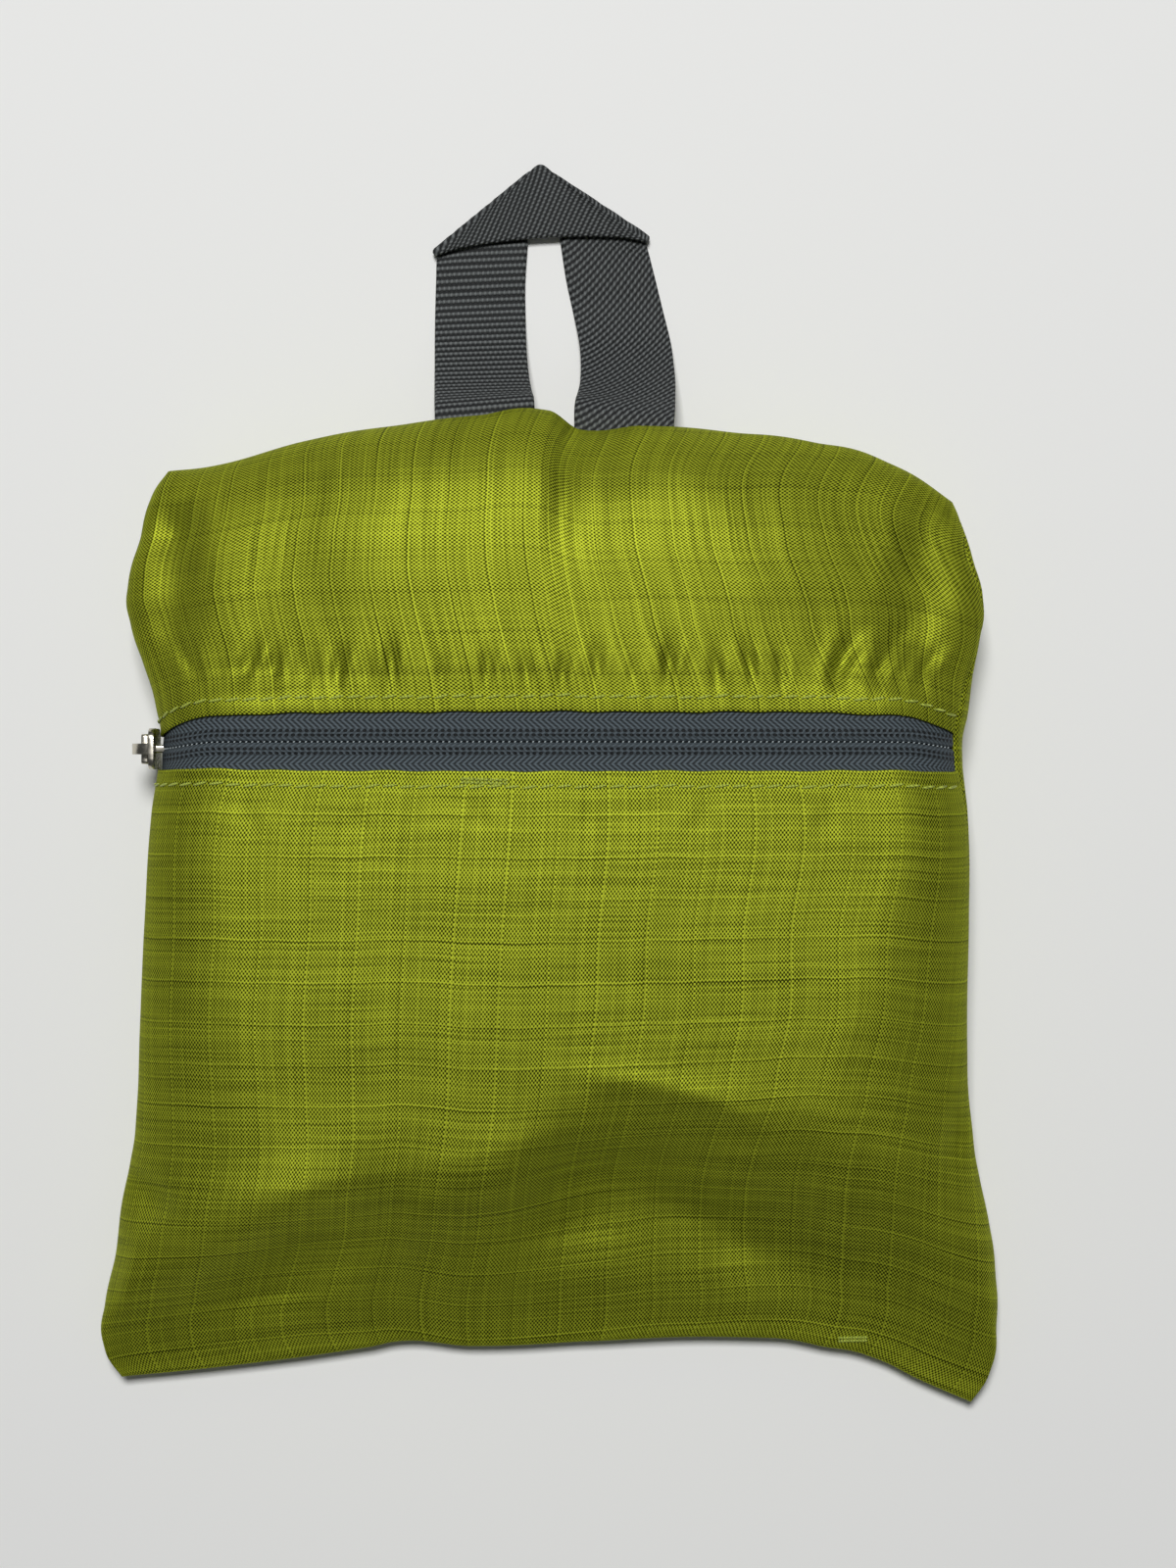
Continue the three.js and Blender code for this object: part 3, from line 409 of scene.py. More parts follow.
def skin_point(side, turn, across, w):
    """A point of the skin. Turn is the angle round the flank from its widest line."""
    front = turn >= 0
    left_margin = np.where(front, left_flank(w), BACK_FLANK) * HALF_WIDTH
    right_margin = np.where(front, right_flank(w), BACK_FLANK) * HALF_WIDTH
    left, right = side_x(-1, w), side_x(1, w)
    x = left + left_margin + (right - right_margin - left - left_margin) * across
    x = np.where(side < 0, left + left_margin * (1 - np.cos(turn)), x)
    x = np.where(side > 0, right - right_margin * (1 - np.cos(turn)), x)
    q = across_share(x, w)
    y = zip_line(q) * (1 - np.abs(w)) + w * edge_length(q, w)
    side_share = np.where(side == 0, 1.0, np.abs(np.sin(turn)))
    waist = waist_at(q, w)
    t = np.clip((1 + w) / slope_reach(q), 0, 1)
    slope = SLOPE_START * t + (1 - SLOPE_START) * ease(t)
    share = soft_least(side_share, np.where(w > 0, round_rise((1 - w) / TOP_ROUND), slope))
    crown = THICKNESS * crown_share(w) * (1 - CROWN_FALL * q * q)
    drawn_x, drawn_y = x + DRAWN_FROM[0], y + DRAWN_FROM[1]
    past_zip = ease((np.abs(y) - DENTS_FROM_ZIP[0]) / (DENTS_FROM_ZIP[1] - DENTS_FROM_ZIP[0]))
    fine = dent_lift(drawn_x, drawn_y) * past_zip + pucker_lift(drawn_x, drawn_y)
    lift = fold_lift(x, y) * np.clip(share * 3, 0, 1) + fine * ease(share * 1.2)
    back_end = np.where(w > 0, round_rise((1 - w) / BACK_TOP_ROUND), round_rise((1 + w) / BACK_BOTTOM_ROUND))
    back_z = waist * (1 - soft_least(side_share, back_end))
    z = np.where(front, waist + (crown - waist) * share + lift, back_z)
    return np.stack([x, y, z], axis=-1)


def panel_point(face, c, w):
    """Column c runs from -1 at the left seam to 1 at the right, row w from -1 to 1 upwards."""
    side = np.where(np.abs(c) < SIDE_BAND, 0, np.sign(c))
    seam = np.radians(np.where(c < 0, left_seam(w), right_seam(w)))
    edge = seam + face * GAP / 2 / waist_at(np.sign(c), w)
    inside = (1 - np.abs(c)) / (1 - SIDE_BAND)
    turn = np.where(side == 0, face * np.pi / 2, edge + (face * np.pi / 2 - edge) * inside)
    return skin_point(side, turn, (c / SIDE_BAND + 1) / 2, w)


def unit(v):
    return v / np.maximum(np.linalg.norm(v, axis=-1, keepdims=True), 1e-9)


# Steps to nearby points, which give the skin's slope, and where the cloth turns flat at the bottom.
NEARBY_C, NEARBY_W = 0.004, 0.0015
FOOT_START, FOOT_FADE, END_BAND = 0.95, 0.17, 0.05


def layer_point(face, c, w, depth):
    """Points at a depth inside the skin, in millimetres, in the pouch's own place."""
    c, w, depth = np.broadcast_arrays(np.asarray(c, float), np.asarray(w, float), depth)
    here = panel_point(face, c, w)
    step_c = np.where(c > 0, -NEARBY_C, NEARBY_C)
    step_w = np.where(w > 0, -NEARBY_W, NEARBY_W)
    along_c = (panel_point(face, c + step_c, w) - here) * np.sign(step_c)[..., None]
    along_w = (panel_point(face, c, w + step_w) - here) * np.sign(step_w)[..., None]
    inward = unit(np.cross(along_w, along_c) * face)
    corner = (ease((np.abs(c) - 0.98) / 0.02) * ease((w - 0.99) / 0.01))[..., None]
    diagonal = unit(np.stack([-np.sign(c), -np.ones_like(c), np.zeros_like(c)], axis=-1))
    inward = inward + (diagonal - inward) * corner
    flat = 1 - ease((w + FOOT_START) / FOOT_FADE)
    inward = unit(inward + (np.array((0, 0, -face)) - inward) * flat[..., None])
    waist = waist_at(across_share(here[..., 0], w), w)
    point = here.copy()
    point[..., 2] = here[..., 2] + WALL * flat if face > 0 else here[..., 2] * (1 - WALL * flat / waist)
    point = point + inward * depth[..., None]
    at_end = (1 - np.abs(w) < END_BAND) | (flat > 0)
    limit = np.maximum if face > 0 else np.minimum
    point[..., 2] = np.where(at_end, limit(point[..., 2], waist), point[..., 2])
    point[..., 2] += face * GAP / 2
    return point


def row_at_offset(c, offset):
    """Row at which column c of the front lies a distance above (or below) the zip's line."""
    q = across_share(panel_point(1, c, np.zeros_like(c))[..., 0], np.zeros_like(c))
    way = np.where(offset < 0, -1, 1)
    return offset / (edge_length(q, way) - way * zip_line(q))


def hem_offset(c, way):
    """Distance of a hem's edge from the zip's line."""
    q = across_share(panel_point(1, c, np.zeros_like(c))[..., 0], np.zeros_like(c))
    wave = HEM_WAVE * (np.sin(q * 47 + way) + 0.6 * np.sin(q * 29 + 2 * way))
    return TAPE_REVEAL * (upper_reveal(q) if way > 0 else lower_reveal(q)) + wave


middle_top = layer_point(1, np.array([0.0]), np.array([0.3]), np.array([0.0]))
print("front at its crown, mm:", np.round(middle_top + PLACE, 1))


# %% A grid that is laid on the skin
def laid_grid(name, points, threads):
    """A bmesh grid with one vertex for each point, its thread coordinates as a UV map in mm."""
    rows, columns = points.shape[:2]
    bm = bmesh.new()
    bmesh.ops.create_grid(bm, x_segments=columns - 1, y_segments=rows - 1, size=1.0)
    mesh = bpy.data.meshes.new(name)
    bm.to_mesh(mesh)
    bm.free()
    flat = np.zeros(len(mesh.vertices) * 3)
    mesh.vertices.foreach_get("co", flat)
    flat = flat.reshape(-1, 3)
    column = np.rint((flat[:, 0] + 1) / 2 * (columns - 1)).astype(int)
    row = np.rint((flat[:, 1] + 1) / 2 * (rows - 1)).astype(int)
    place = (points[row, column] + PLACE) * MM
    mesh.vertices.foreach_set("co", place.ravel())
    corner = np.zeros(len(mesh.loops), int)
    mesh.loops.foreach_get("vertex_index", corner)
    layer = mesh.uv_layers.new(name="threads")
    layer.data.foreach_set("uv", threads[row, column][corner].ravel())
    mesh.polygons.foreach_set("use_smooth", np.ones(len(mesh.polygons), bool))
    mesh.update()
    obj = bpy.data.objects.new(name, mesh)
    bpy.context.scene.collection.objects.link(obj)
    return obj


def eased_out(values, axis, reach):
    """Running means along one axis, with the ends held."""
    pad = [(0, 0), (0, 0)]
    pad[axis] = (reach, reach)
    wide = np.pad(values, pad, mode="edge")
    size = values.shape[axis]
    parts = [np.take(wide, np.arange(size) + k, axis=axis) for k in range(2 * reach + 1)]
    return np.mean(parts, axis=0)


def thread_lengths(points, centre_column, start_row):
    """Length along the cloth from a column and a row to each point, in mm."""
    steps_u = np.linalg.norm(np.diff(points, axis=1), axis=-1)
    u = np.concatenate([np.zeros((len(points), 1)), np.cumsum(steps_u, axis=1)], axis=1)
    steps_v = np.linalg.norm(np.diff(points, axis=0), axis=-1)
    v = np.concatenate([np.zeros((1, points.shape[1])), np.cumsum(steps_v, axis=0)], axis=0)
    u, v = u - u[:, centre_column:centre_column + 1], v - v[start_row:start_row + 1]
    # A real thread stays nearly straight over small dents, since the weave shears a little.
    return np.stack([eased_out(u, 0, 30), eased_out(v, 1, 30)], axis=-1)


def edge_spread(count, fine=(0.0, 0.12, 0.4, 0.9)):
    """Shares from 0 to 1 in even steps, with a few fine steps at the start."""
    even = np.linspace(0, 1, count + 1)
    return np.concatenate([np.array(fine) * even[1], even[1:]])


def columns_of(per_side, middle):
    """Values of c from seam to seam, closer together at the seams."""
    flank = edge_spread(per_side) * (1 - SIDE_BAND)
    inner = np.linspace(-SIDE_BAND, SIDE_BAND, middle + 1)
    return np.concatenate([-1 + flank, inner[1:-1], 1 - flank[::-1]])


# At a seam the cloth turns in, so that two panels meet in a narrow groove.
SEAM_ROLL = 1.1


def roll_depth(distance):
    """How deep the cloth lies at a distance from its seam."""
    t = np.clip(1 - distance / SEAM_ROLL, 0, 1)
    return SEAM_ROLL * 0.9 * (1 - np.sqrt(1 - t * t))


print("columns on the front:", len(columns_of(32, 130)))

# %% [markdown]
# ## The cloth panels
# The pouch is sewn from a back and two front panels. Each front panel is turned under along the zip
# and top-stitched. A grid is laid on the skin, row by row, and its last rows go round the fold of the
# hem and back underneath. Solidify then gives the cloth its thickness.

# %% Lay the panels
CLOTH = 0.28
HEM_RADIUS = 0.25
HEM_UNDER = 4.0
# From the middle to a side seam, measured over the cloth, in millimetres.
FRONT_ROUND, BACK_ROUND = 85, 60


def hem_rows():
    """Steps round a hem's fold: distance past its start and depth."""
    angles = np.linspace(0, np.pi, 7)[1:]
    turn = [(HEM_RADIUS * math.sin(a), HEM_RADIUS * (1 - math.cos(a))) for a in angles]
    under = [(-d, 2 * HEM_RADIUS) for d in (1.3, 2.7, HEM_UNDER)]
    return turn + under


def front_panel(name, way, columns, row_count):
    """The front panel below (way -1) or above (way 1) the zip."""
    c = columns
    hem = hem_offset(c, way)
    straight_end = way * (hem + HEM_RADIUS)
    if way < 0:
        low, high = -np.ones_like(c), row_at_offset(c, straight_end)
        shares = edge_spread(row_count)
        w_rows = [low + (high - low) * s for s in shares]
    else:
        low, high = row_at_offset(c, straight_end), np.ones_like(c)
        bend = 1 - np.cos(np.linspace(0, np.pi / 2, row_count // 2 + 1))
        round_part = [high - TOP_ROUND * s for s in bend[::-1]]
        start = high - TOP_ROUND
        even = [low + (start - low) * s for s in np.linspace(0, 1, row_count // 2 + 1)[:-1]]
        w_rows = even + round_part
    depths = []
    for w in w_rows:
        here = panel_point(1, c, w)
        to_end = np.abs(w - high if way > 0 else w - low) * edge_length(across_share(here[:, 0], w), w)
        if way > 0:
            to_end = UPPER_LENGTH * TOP_ROUND * np.sqrt(np.maximum(2 * (1 - w) / TOP_ROUND, 0))
        to_side = np.where(c < 0, 1 + c, 1 - c) * FRONT_ROUND
        depths.append(roll_depth(np.minimum(to_end, to_side)))
    rows = [layer_point(1, c, w, d) for w, d in zip(w_rows, depths)]
    under = []
    for past, depth in hem_rows():
        w = row_at_offset(c, straight_end - way * past)
        to_side = np.where(c < 0, 1 + c, 1 - c) * FRONT_ROUND
        under.append(layer_point(1, c, w, roll_depth(to_side) + depth))
    if way < 0:
        points = np.array(rows + under)
        hem_row = len(rows) - 1
    else:
        points = np.array(under[::-1] + rows)
        hem_row = len(under)
    threads = thread_lengths(points, int(np.argmin(np.abs(c))), hem_row)
    if way > 0:
        threads = threads[..., ::-1]
    obj = laid_grid(name, points, threads)
    thick = obj.modifiers.new("cloth", "SOLIDIFY")
    thick.thickness = CLOTH * MM
    thick.offset = -1
    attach(obj, "pouch")
    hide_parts(name)
    return obj


def back_panel(columns, row_count):
    """The back, which turns up round the sides to the seams."""
    c = columns
    half = row_count // 2
    bend = 1 - np.cos(np.linspace(0, np.pi / 2, 15))
    low = [-1 + BACK_BOTTOM_ROUND * s for s in bend]
    high = [1 - BACK_TOP_ROUND * s for s in bend[::-1]]
    w_rows = low + list(np.linspace(low[-1], high[0], half)[1:-1]) + high
    rows = []
    for w in w_rows:
        w = np.full_like(c, w)
        to_low = LOWER_LENGTH * np.sqrt(np.maximum((1 + w) * BACK_BOTTOM_ROUND * 2, 0))
        to_high = UPPER_LENGTH * np.sqrt(np.maximum((1 - w) * BACK_TOP_ROUND * 2, 0))
        to_side = np.where(c < 0, 1 + c, 1 - c) * BACK_ROUND
        rows.append(layer_point(-1, c, w, roll_depth(np.minimum(np.minimum(to_low, to_high), to_side))))
    points = np.array(rows)
    middle = int(np.argmin(np.abs(np.array(w_rows))))
    threads = thread_lengths(points, int(np.argmin(np.abs(c))), middle)
    obj = laid_grid("back_cloth", points, threads)
    thick = obj.modifiers.new("cloth", "SOLIDIFY")
    thick.thickness = CLOTH * MM
    thick.offset = 1
    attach(obj, "pouch")
    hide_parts("back_panel")
    return obj


def rename(obj, name):
    """Gives a piece its own name, since the solid it stands for keeps the other."""
    obj.name = name
    obj.data.name = name
    return obj


front_columns = columns_of(32, 130)
lower_cloth = rename(front_panel("front_panel_lower", -1, front_columns, 122), "lower_cloth")
upper_cloth = rename(front_panel("front_panel_upper", 1, front_columns, 84), "upper_cloth")
back_cloth = back_panel(columns_of(24, 90), 110)
for piece in (lower_cloth, upper_cloth, back_cloth):
    print(piece.name, "faces:", len(piece.data.polygons))

# %% [markdown]
# ## Ripstop nylon
# Ripstop is a plain weave of fine glossy yarn with a thicker yarn every few millimetres each way, so
# it shows a grid of squares, solid lines one way and dotted lines the other. An image could carry it,
# but sines of the thread coordinates do it at any size, and they bend with the cloth.

# %% Ripstop
# The real yarns lie 0.36 and 0.55 mm apart, too fine for a picture of the whole pouch. They are
# drawn about twice as coarse, so that the cloth's grain can still be seen.
WEAVE_X, WEAVE_Y = 0.72, 0.96
MINOR_PITCH = 3.2


def ripstop(name, light, dark, line_pitch, dot_pitch, dot_share):
    """Calendered ripstop nylon: satin sheen from flattened yarn; yarn crowns painted light, gaps painted
    shade.
    """
    material, tree = new_material(name)
    math_node = "ShaderNodeMath"
    uv = add_node(tree, "ShaderNodeUVMap", {"uv_map": "threads"})
    split = add_node(tree, "ShaderNodeSeparateXYZ", Vector=uv)
    x, y = split.outputs["X"], split.outputs["Y"]
    # The yarn crowns are painted lighter and the gaps between them darker: painted highlight and painted
    # shade of the weave. The same wave also gives the bump.
    turn_x = add_node(tree, math_node, {"operation": "MULTIPLY"}, i0=x, i1=2 * math.pi / WEAVE_X)
    turn_y = add_node(tree, math_node, {"operation": "MULTIPLY"}, i0=y, i1=2 * math.pi / WEAVE_Y)
    wave_x = add_node(tree, math_node, {"operation": "COSINE"}, i0=turn_x)
    wave_y = add_node(tree, math_node, {"operation": "COSINE"}, i0=turn_y)
    weave = add_node(tree, math_node, {"operation": "MULTIPLY"}, i0=wave_x, i1=wave_y)
    # Each yarn has its own brightness, and it changes slowly along the yarn.
    yarn = add_node(tree, math_node, {"operation": "SNAP"}, i0=y, i1=WEAVE_Y / 2)
    slow_x = add_node(tree, math_node, {"operation": "MULTIPLY"}, i0=x, i1=0.005)
    streak_at = add_node(tree, "ShaderNodeCombineXYZ", X=slow_x, Y=yarn)
    streak = add_node(tree, "ShaderNodeTexNoise", {"noise_dimensions": "2D"}, Vector=streak_at,
                      Scale=7.3, Detail=1.0)
    end = add_node(tree, math_node, {"operation": "SNAP"}, i0=x, i1=WEAVE_X / 2)
    slow_y = add_node(tree, math_node, {"operation": "MULTIPLY"}, i0=y, i1=0.005)
    end_at = add_node(tree, "ShaderNodeCombineXYZ", X=end, Y=slow_y)
    end_streak = add_node(tree, "ShaderNodeTexNoise", {"noise_dimensions": "2D"}, Vector=end_at,
                          Scale=5.9, Detail=1.0)
    beads = add_node(tree, math_node, {"operation": "MULTIPLY_ADD"}, i0=wave_y, i1=0.5, i2=0.5)
    gaps = add_node(tree, math_node, {"operation": "SUBTRACT"}, i0=1.0, i1=beads)
    # Thicker yarns: where they lie, how wide each is, and how much brighter or darker.
    bright = add_node(tree, math_node, {"operation": "MULTIPLY_ADD"}, i0=weave, i1=1.9, i2=0.0)
    height = weave
    for value, pitch, shift, half_width, on, share in (
        (y, line_pitch, 0.0, 0.20, None, 0.60), (y, line_pitch, 0.40, 0.18, None, -0.55),
        (x, dot_pitch, 0.0, 0.28, beads, dot_share), (x, dot_pitch, 0.0, 0.28, gaps, -0.55),
        (x, dot_pitch, 0.50, 0.18, None, -0.25), (x, MINOR_PITCH, 0.0, 0.20, beads, dot_share * 0.5),
        (y, line_pitch, line_pitch * 0.36, 0.18, None, 0.30),
    ):
        moved = add_node(tree, math_node, {"operation": "ADD"}, i0=value, i1=shift)
        away = add_node(tree, math_node, {"operation": "PINGPONG"}, i0=moved, i1=pitch / 2)
        line = add_node(tree, "ShaderNodeMapRange", {"interpolation_type": "SMOOTHSTEP"}, Value=away,
                        From_Min=half_width * 0.5, From_Max=half_width * 1.25, To_Min=1.0, To_Max=0.0)
        if on is not None:
            line = add_node(tree, math_node, {"operation": "MULTIPLY"}, i0=line, i1=on)
        bright = add_node(tree, math_node, {"operation": "MULTIPLY_ADD"}, i0=line, i1=share, i2=bright)
        height = add_node(tree, math_node, {"operation": "MULTIPLY_ADD"}, i0=line, i1=share, i2=height)
    for texture, share in ((streak, 1.5), (end_streak, 0.7)):
        centred = add_node(tree, math_node, {"operation": "SUBTRACT"}, i0=texture.outputs["Fac"], i1=0.5)
        bright = add_node(tree, math_node, {"operation": "MULTIPLY_ADD"}, i0=centred, i1=share, i2=bright)
    level = add_node(tree, math_node, {"operation": "MULTIPLY_ADD"}, i0=bright, i1=0.5, i2=0.5)
    colour = add_node(tree, "ShaderNodeMix", {"data_type": "RGBA", "clamp_factor": True}, i0=level,
                      i6=linear(dark), i7=linear(light)).outputs[2]
    bump = add_node(tree, "ShaderNodeBump", Strength=0.3, Distance=0.00003, Height=height)
    shader = add_node(tree, "ShaderNodeBsdfPrincipled", Base_Color=colour, Roughness=0.6,
                      Metallic=0.62, Specular_IOR_Level=0.3, Specular_Tint=linear("#e6ec7c"), Normal=bump)
    add_node(tree, "ShaderNodeOutputMaterial", Surface=shader)
    return material


LOWER_PITCHES, UPPER_PITCHES = (8.5, 9.6), (7.9, 8.15)
along_zip = ripstop("ripstop_nylon_calendered", "#b6c034", "#232902", *LOWER_PITCHES, 0.95)
across_zip = ripstop("ripstop_nylon_calendered_turned", "#b6c034", "#232902", *UPPER_PITCHES, 0.25)
lower_cloth.data.materials.append(along_zip)
upper_cloth.data.materials.append(across_zip)
back_cloth.data.materials.append(along_zip)
print("ripstop squares, mm:", LOWER_PITCHES, UPPER_PITCHES)

# %% [markdown]
# ## The zip's tape
# The zip is a reverse coil: the coil lies behind the tape, so the front is two flat woven edges that
# meet in a slit, with rows of holes where the coil is sewn on. The tape is a strip of grid under the
# hems, raised a little over the coil.

# %% Lay the two tapes
TAPE_UNDER = 4.2
TAPE_DEPTH = 0.8
TAPE_WALL = 0.5
SLIT_HALF, SLIT_AT_NECK = 0.13, 1.2
NECK_AT, NECK_FADE = 0.88, 0.022
# The tape's edge is rolled down into the slit, and a low ridge shows where the coil lies behind.
EDGE_ROLL, EDGE_REACH = 0.22, 0.3
RIDGE, RIDGE_AT, RIDGE_HALF = 0.16, 1.5, 1.1
# Lanes of the tape, by distance from the slit: close together over its rounded edge.
tape_offsets = np.concatenate(
    [[0.0, 0.05, 0.15, 0.3], np.linspace(0.55, 1.0, 4), np.linspace(1.25, 10.2, 32)]
)


def slit_half(c):
    return SLIT_AT_NECK + (SLIT_HALF - SLIT_AT_NECK) * ease((c + NECK_AT) / NECK_FADE)


def tape(name, way):
    c = front_columns
    widths = hem_offset(c, way) + TAPE_UNDER
    rows, lanes = [], []
    for reach in tape_offsets:
        inner = slit_half(c)
        offset = np.minimum(inner + reach, widths)
        w = row_at_offset(c, way * offset)
        rounded = EDGE_ROLL * (1 - ease(reach / EDGE_REACH))
        ridge = RIDGE * np.exp(-((reach - RIDGE_AT) / RIDGE_HALF) ** 4)
        rows.append(layer_point(1, c, w, TAPE_DEPTH + rounded - ridge))
        lanes.append(offset)
    points = np.array(rows)
    threads = thread_lengths(points, int(np.argmin(np.abs(c))), 0)
    threads[..., 1] = np.array(lanes)
    if way < 0:
        points, threads = points[::-1], threads[::-1]
    obj = rename(laid_grid(name, points, threads), name.replace("zipper_tape", "woven_tape"))
    thick = obj.modifiers.new("tape", "SOLIDIFY")
    thick.thickness = TAPE_WALL * MM
    thick.offset = -1
    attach(obj, "pouch")
    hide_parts(name)
    return obj


tape_lower = tape("zipper_tape_lower", -1)
tape_upper = tape("zipper_tape_upper", 1)
print("tape faces:", len(tape_lower.data.polygons), len(tape_upper.data.polygons))


# %% The tape's finish
TWILL_PITCH, HOLE_PITCH = 1.2, 1.3


def zip_tape_material():
    """Polyester herringbone tape, dyed blue-grey: matt, with rows of sewing holes over the coil."""
    material, tree = new_material("polyester_tape_herringbone")
    math_node = "ShaderNodeMath"
    uv = add_node(tree, "ShaderNodeUVMap", {"uv_map": "threads"})
    split = add_node(tree, "ShaderNodeSeparateXYZ", Vector=uv)
    x, lane = split.outputs["X"], split.outputs["Y"]
    # The twill turns back at each zone's edge, which makes the herringbone.
    zone = add_node(tree, math_node, {"operation": "ADD"}, i0=lane, i1=0.55)
    chevron = add_node(tree, math_node, {"operation": "PINGPONG"}, i0=zone, i1=1.65)
    slant = add_node(tree, math_node, {"operation": "MULTIPLY_ADD"}, i0=chevron, i1=1.15, i2=x)
    turn = add_node(tree, math_node, {"operation": "MULTIPLY"}, i0=slant, i1=2 * math.pi / TWILL_PITCH)
    twill = add_node(tree, math_node, {"operation": "SINE"}, i0=turn)
    cross_turn = add_node(tree, math_node, {"operation": "MULTIPLY"}, i0=lane, i1=2 * math.pi / 0.55)
    cross = add_node(tree, math_node, {"operation": "SINE"}, i0=cross_turn)
    # Over the coil the twill is pressed flat.
    free = add_node(tree, "ShaderNodeMapRange", Value=lane, From_Min=2.6, From_Max=2.9, To_Min=0.16,
                    To_Max=0.40)
    level = add_node(tree, math_node, {"operation": "MULTIPLY_ADD"}, i0=twill, i1=free, i2=0.46)
    level = add_node(tree, math_node, {"operation": "MULTIPLY_ADD"}, i0=cross, i1=0.10, i2=level)
    height = twill
    # The coil's sewing thread leaves two rows of holes at each side of the slit, each a dent in the bump
    # with painted shade in it.
    along = add_node(tree, math_node, {"operation": "PINGPONG"}, i0=x, i1=HOLE_PITCH / 2)
    long_way = add_node(tree, math_node, {"operation": "DIVIDE"}, i0=along, i1=0.42)
    for at in (1.35, 2.25):
        near = add_node(tree, math_node, {"operation": "SUBTRACT"}, i0=lane, i1=at)
        wide_way = add_node(tree, math_node, {"operation": "DIVIDE"}, i0=near, i1=0.30)
        reach = add_node(tree, "ShaderNodeCombineXYZ", X=long_way, Y=wide_way)
        away = add_node(tree, "ShaderNodeVectorMath", {"operation": "LENGTH"}, i0=reach)
        hole = add_node(tree, "ShaderNodeMapRange", {"interpolation_type": "SMOOTHSTEP"},
                        Value=away.outputs["Value"], From_Min=0.75, From_Max=1.1, To_Min=1.0, To_Max=0.0)
        # Painted shade: the tape's colour is made darker inside each hole.
        level = add_node(tree, math_node, {"operation": "MULTIPLY_ADD"}, i0=hole, i1=-1.0, i2=level)
        height = add_node(tree, math_node, {"operation": "MULTIPLY_ADD"}, i0=hole, i1=-3.0, i2=height)
    colour = add_node(tree, "ShaderNodeMix", {"data_type": "RGBA", "clamp_factor": True}, i0=level,
                      i6=linear("#0e1214"), i7=linear("#5e6a71")).outputs[2]
    bump = add_node(tree, "ShaderNodeBump", Strength=0.7, Distance=0.00008, Height=height)
    shader = add_node(tree, "ShaderNodeBsdfPrincipled", Base_Color=colour, Roughness=0.75,
                      Specular_IOR_Level=0.35, Normal=bump)
    add_node(tree, "ShaderNodeOutputMaterial", Surface=shader)
    return material


tape_material = zip_tape_material()
for piece in (tape_lower, tape_upper):
    piece.data.materials.append(tape_material)
print("twill and hole pitch, mm:", TWILL_PITCH, HOLE_PITCH)

# %% [markdown]
# ## Stitches
# Each stitch is a short thread that rises from one hole and dives into the next. A stretched ball is
# fat in the middle and thin at both ends, which is the shape of a stitch pulled tight.

# %% Sew along a line on the skin
THREAD_RADIUS = 0.28


def line_on_skin(face, c, w, depth=0.0):
    """Points, outward normals and directions along a line of the skin."""
    at = layer_point(face, c, w, np.full_like(c, depth))
    under = layer_point(face, c, w, np.full_like(c, depth + 0.5))
    along = unit(np.gradient(at, axis=0))
    return at + PLACE, unit(at - under), along


def sew(bm, points, normals, along, pitch, length, radius=THREAD_RADIUS, sway=0.0):
    """Adds stitches at even steps along a line of points. All in millimetres."""
    steps = np.linalg.norm(np.diff(points, axis=0), axis=1)
    travelled = np.concatenate([[0], np.cumsum(steps)])
    count = int(travelled[-1] / pitch)
    for k in range(count):
        s = (k + 0.5) * pitch
        here = Vector([np.interp(s, travelled, points[:, i]) for i in range(3)])
        out = Vector([np.interp(s, travelled, normals[:, i]) for i in range(3)]).normalized()
        run = Vector([np.interp(s, travelled, along[:, i]) for i in range(3)]).normalized()
        aside = out.cross(run).normalized()
        run = (run + aside * sway).normalized()
        aside = out.cross(run).normalized()
        turn = Matrix((run, aside, out)).transposed().to_4x4()
        size = Matrix.Diagonal((length / 2, radius, radius, 1))
        place = Matrix.Translation((here + out * radius * 0.35) * MM)
        bmesh.ops.create_uvsphere(bm, u_segments=10, v_segments=7, radius=1.0,
                                  matrix=place @ Matrix.Scale(MM, 4) @ turn @ size)


def thread_piece(name, bm):
    """A shown piece from a bmesh of stitches."""
    mesh = bpy.data.meshes.new(name)
    bm.to_mesh(mesh)
    bm.free()
    mesh.polygons.foreach_set("use_smooth", np.ones(len(mesh.polygons), bool))
    obj = bpy.data.objects.new(name, mesh)
    bpy.context.scene.collection.objects.link(obj)
    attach(obj, "pouch")
    return obj


print("thread radius, mm:", THREAD_RADIUS)

# %% [markdown]
# ## The coil in the slit
# Between the two tapes the coil's turns just show, as pale dots: their pale colour is a painted highlight,
# since the coil itself is dark. A swept spiral would be the exact shape, but only its tops can be seen, so
# short slanted threads from the same helper are enough.

# %% Turns of the coil that show in the slit
TURN_PITCH, TURN_LENGTH, TURN_RADIUS, TURN_SWAY = 1.2, 0.5, 0.15, 0.4
TURN_IN = 0.12
bm = bmesh.new()
turn_c = np.linspace(-0.84, 0.97, 400)
slit_line = line_on_skin(1, turn_c, np.zeros_like(turn_c), TAPE_DEPTH + TURN_IN)
sew(bm, *slit_line, TURN_PITCH, TURN_LENGTH, radius=TURN_RADIUS, sway=TURN_SWAY)
coil_turns = thread_piece("coil_turns", bm)
print("turns of the coil, faces:", len(coil_turns.data.polygons))

# %% [markdown]
# ## The seams
# A row of stitches holds each hem down along the zip, about 3 mm from its fold. Two short rows lie
# close together, where the machine sewed to and fro to lock a seam.

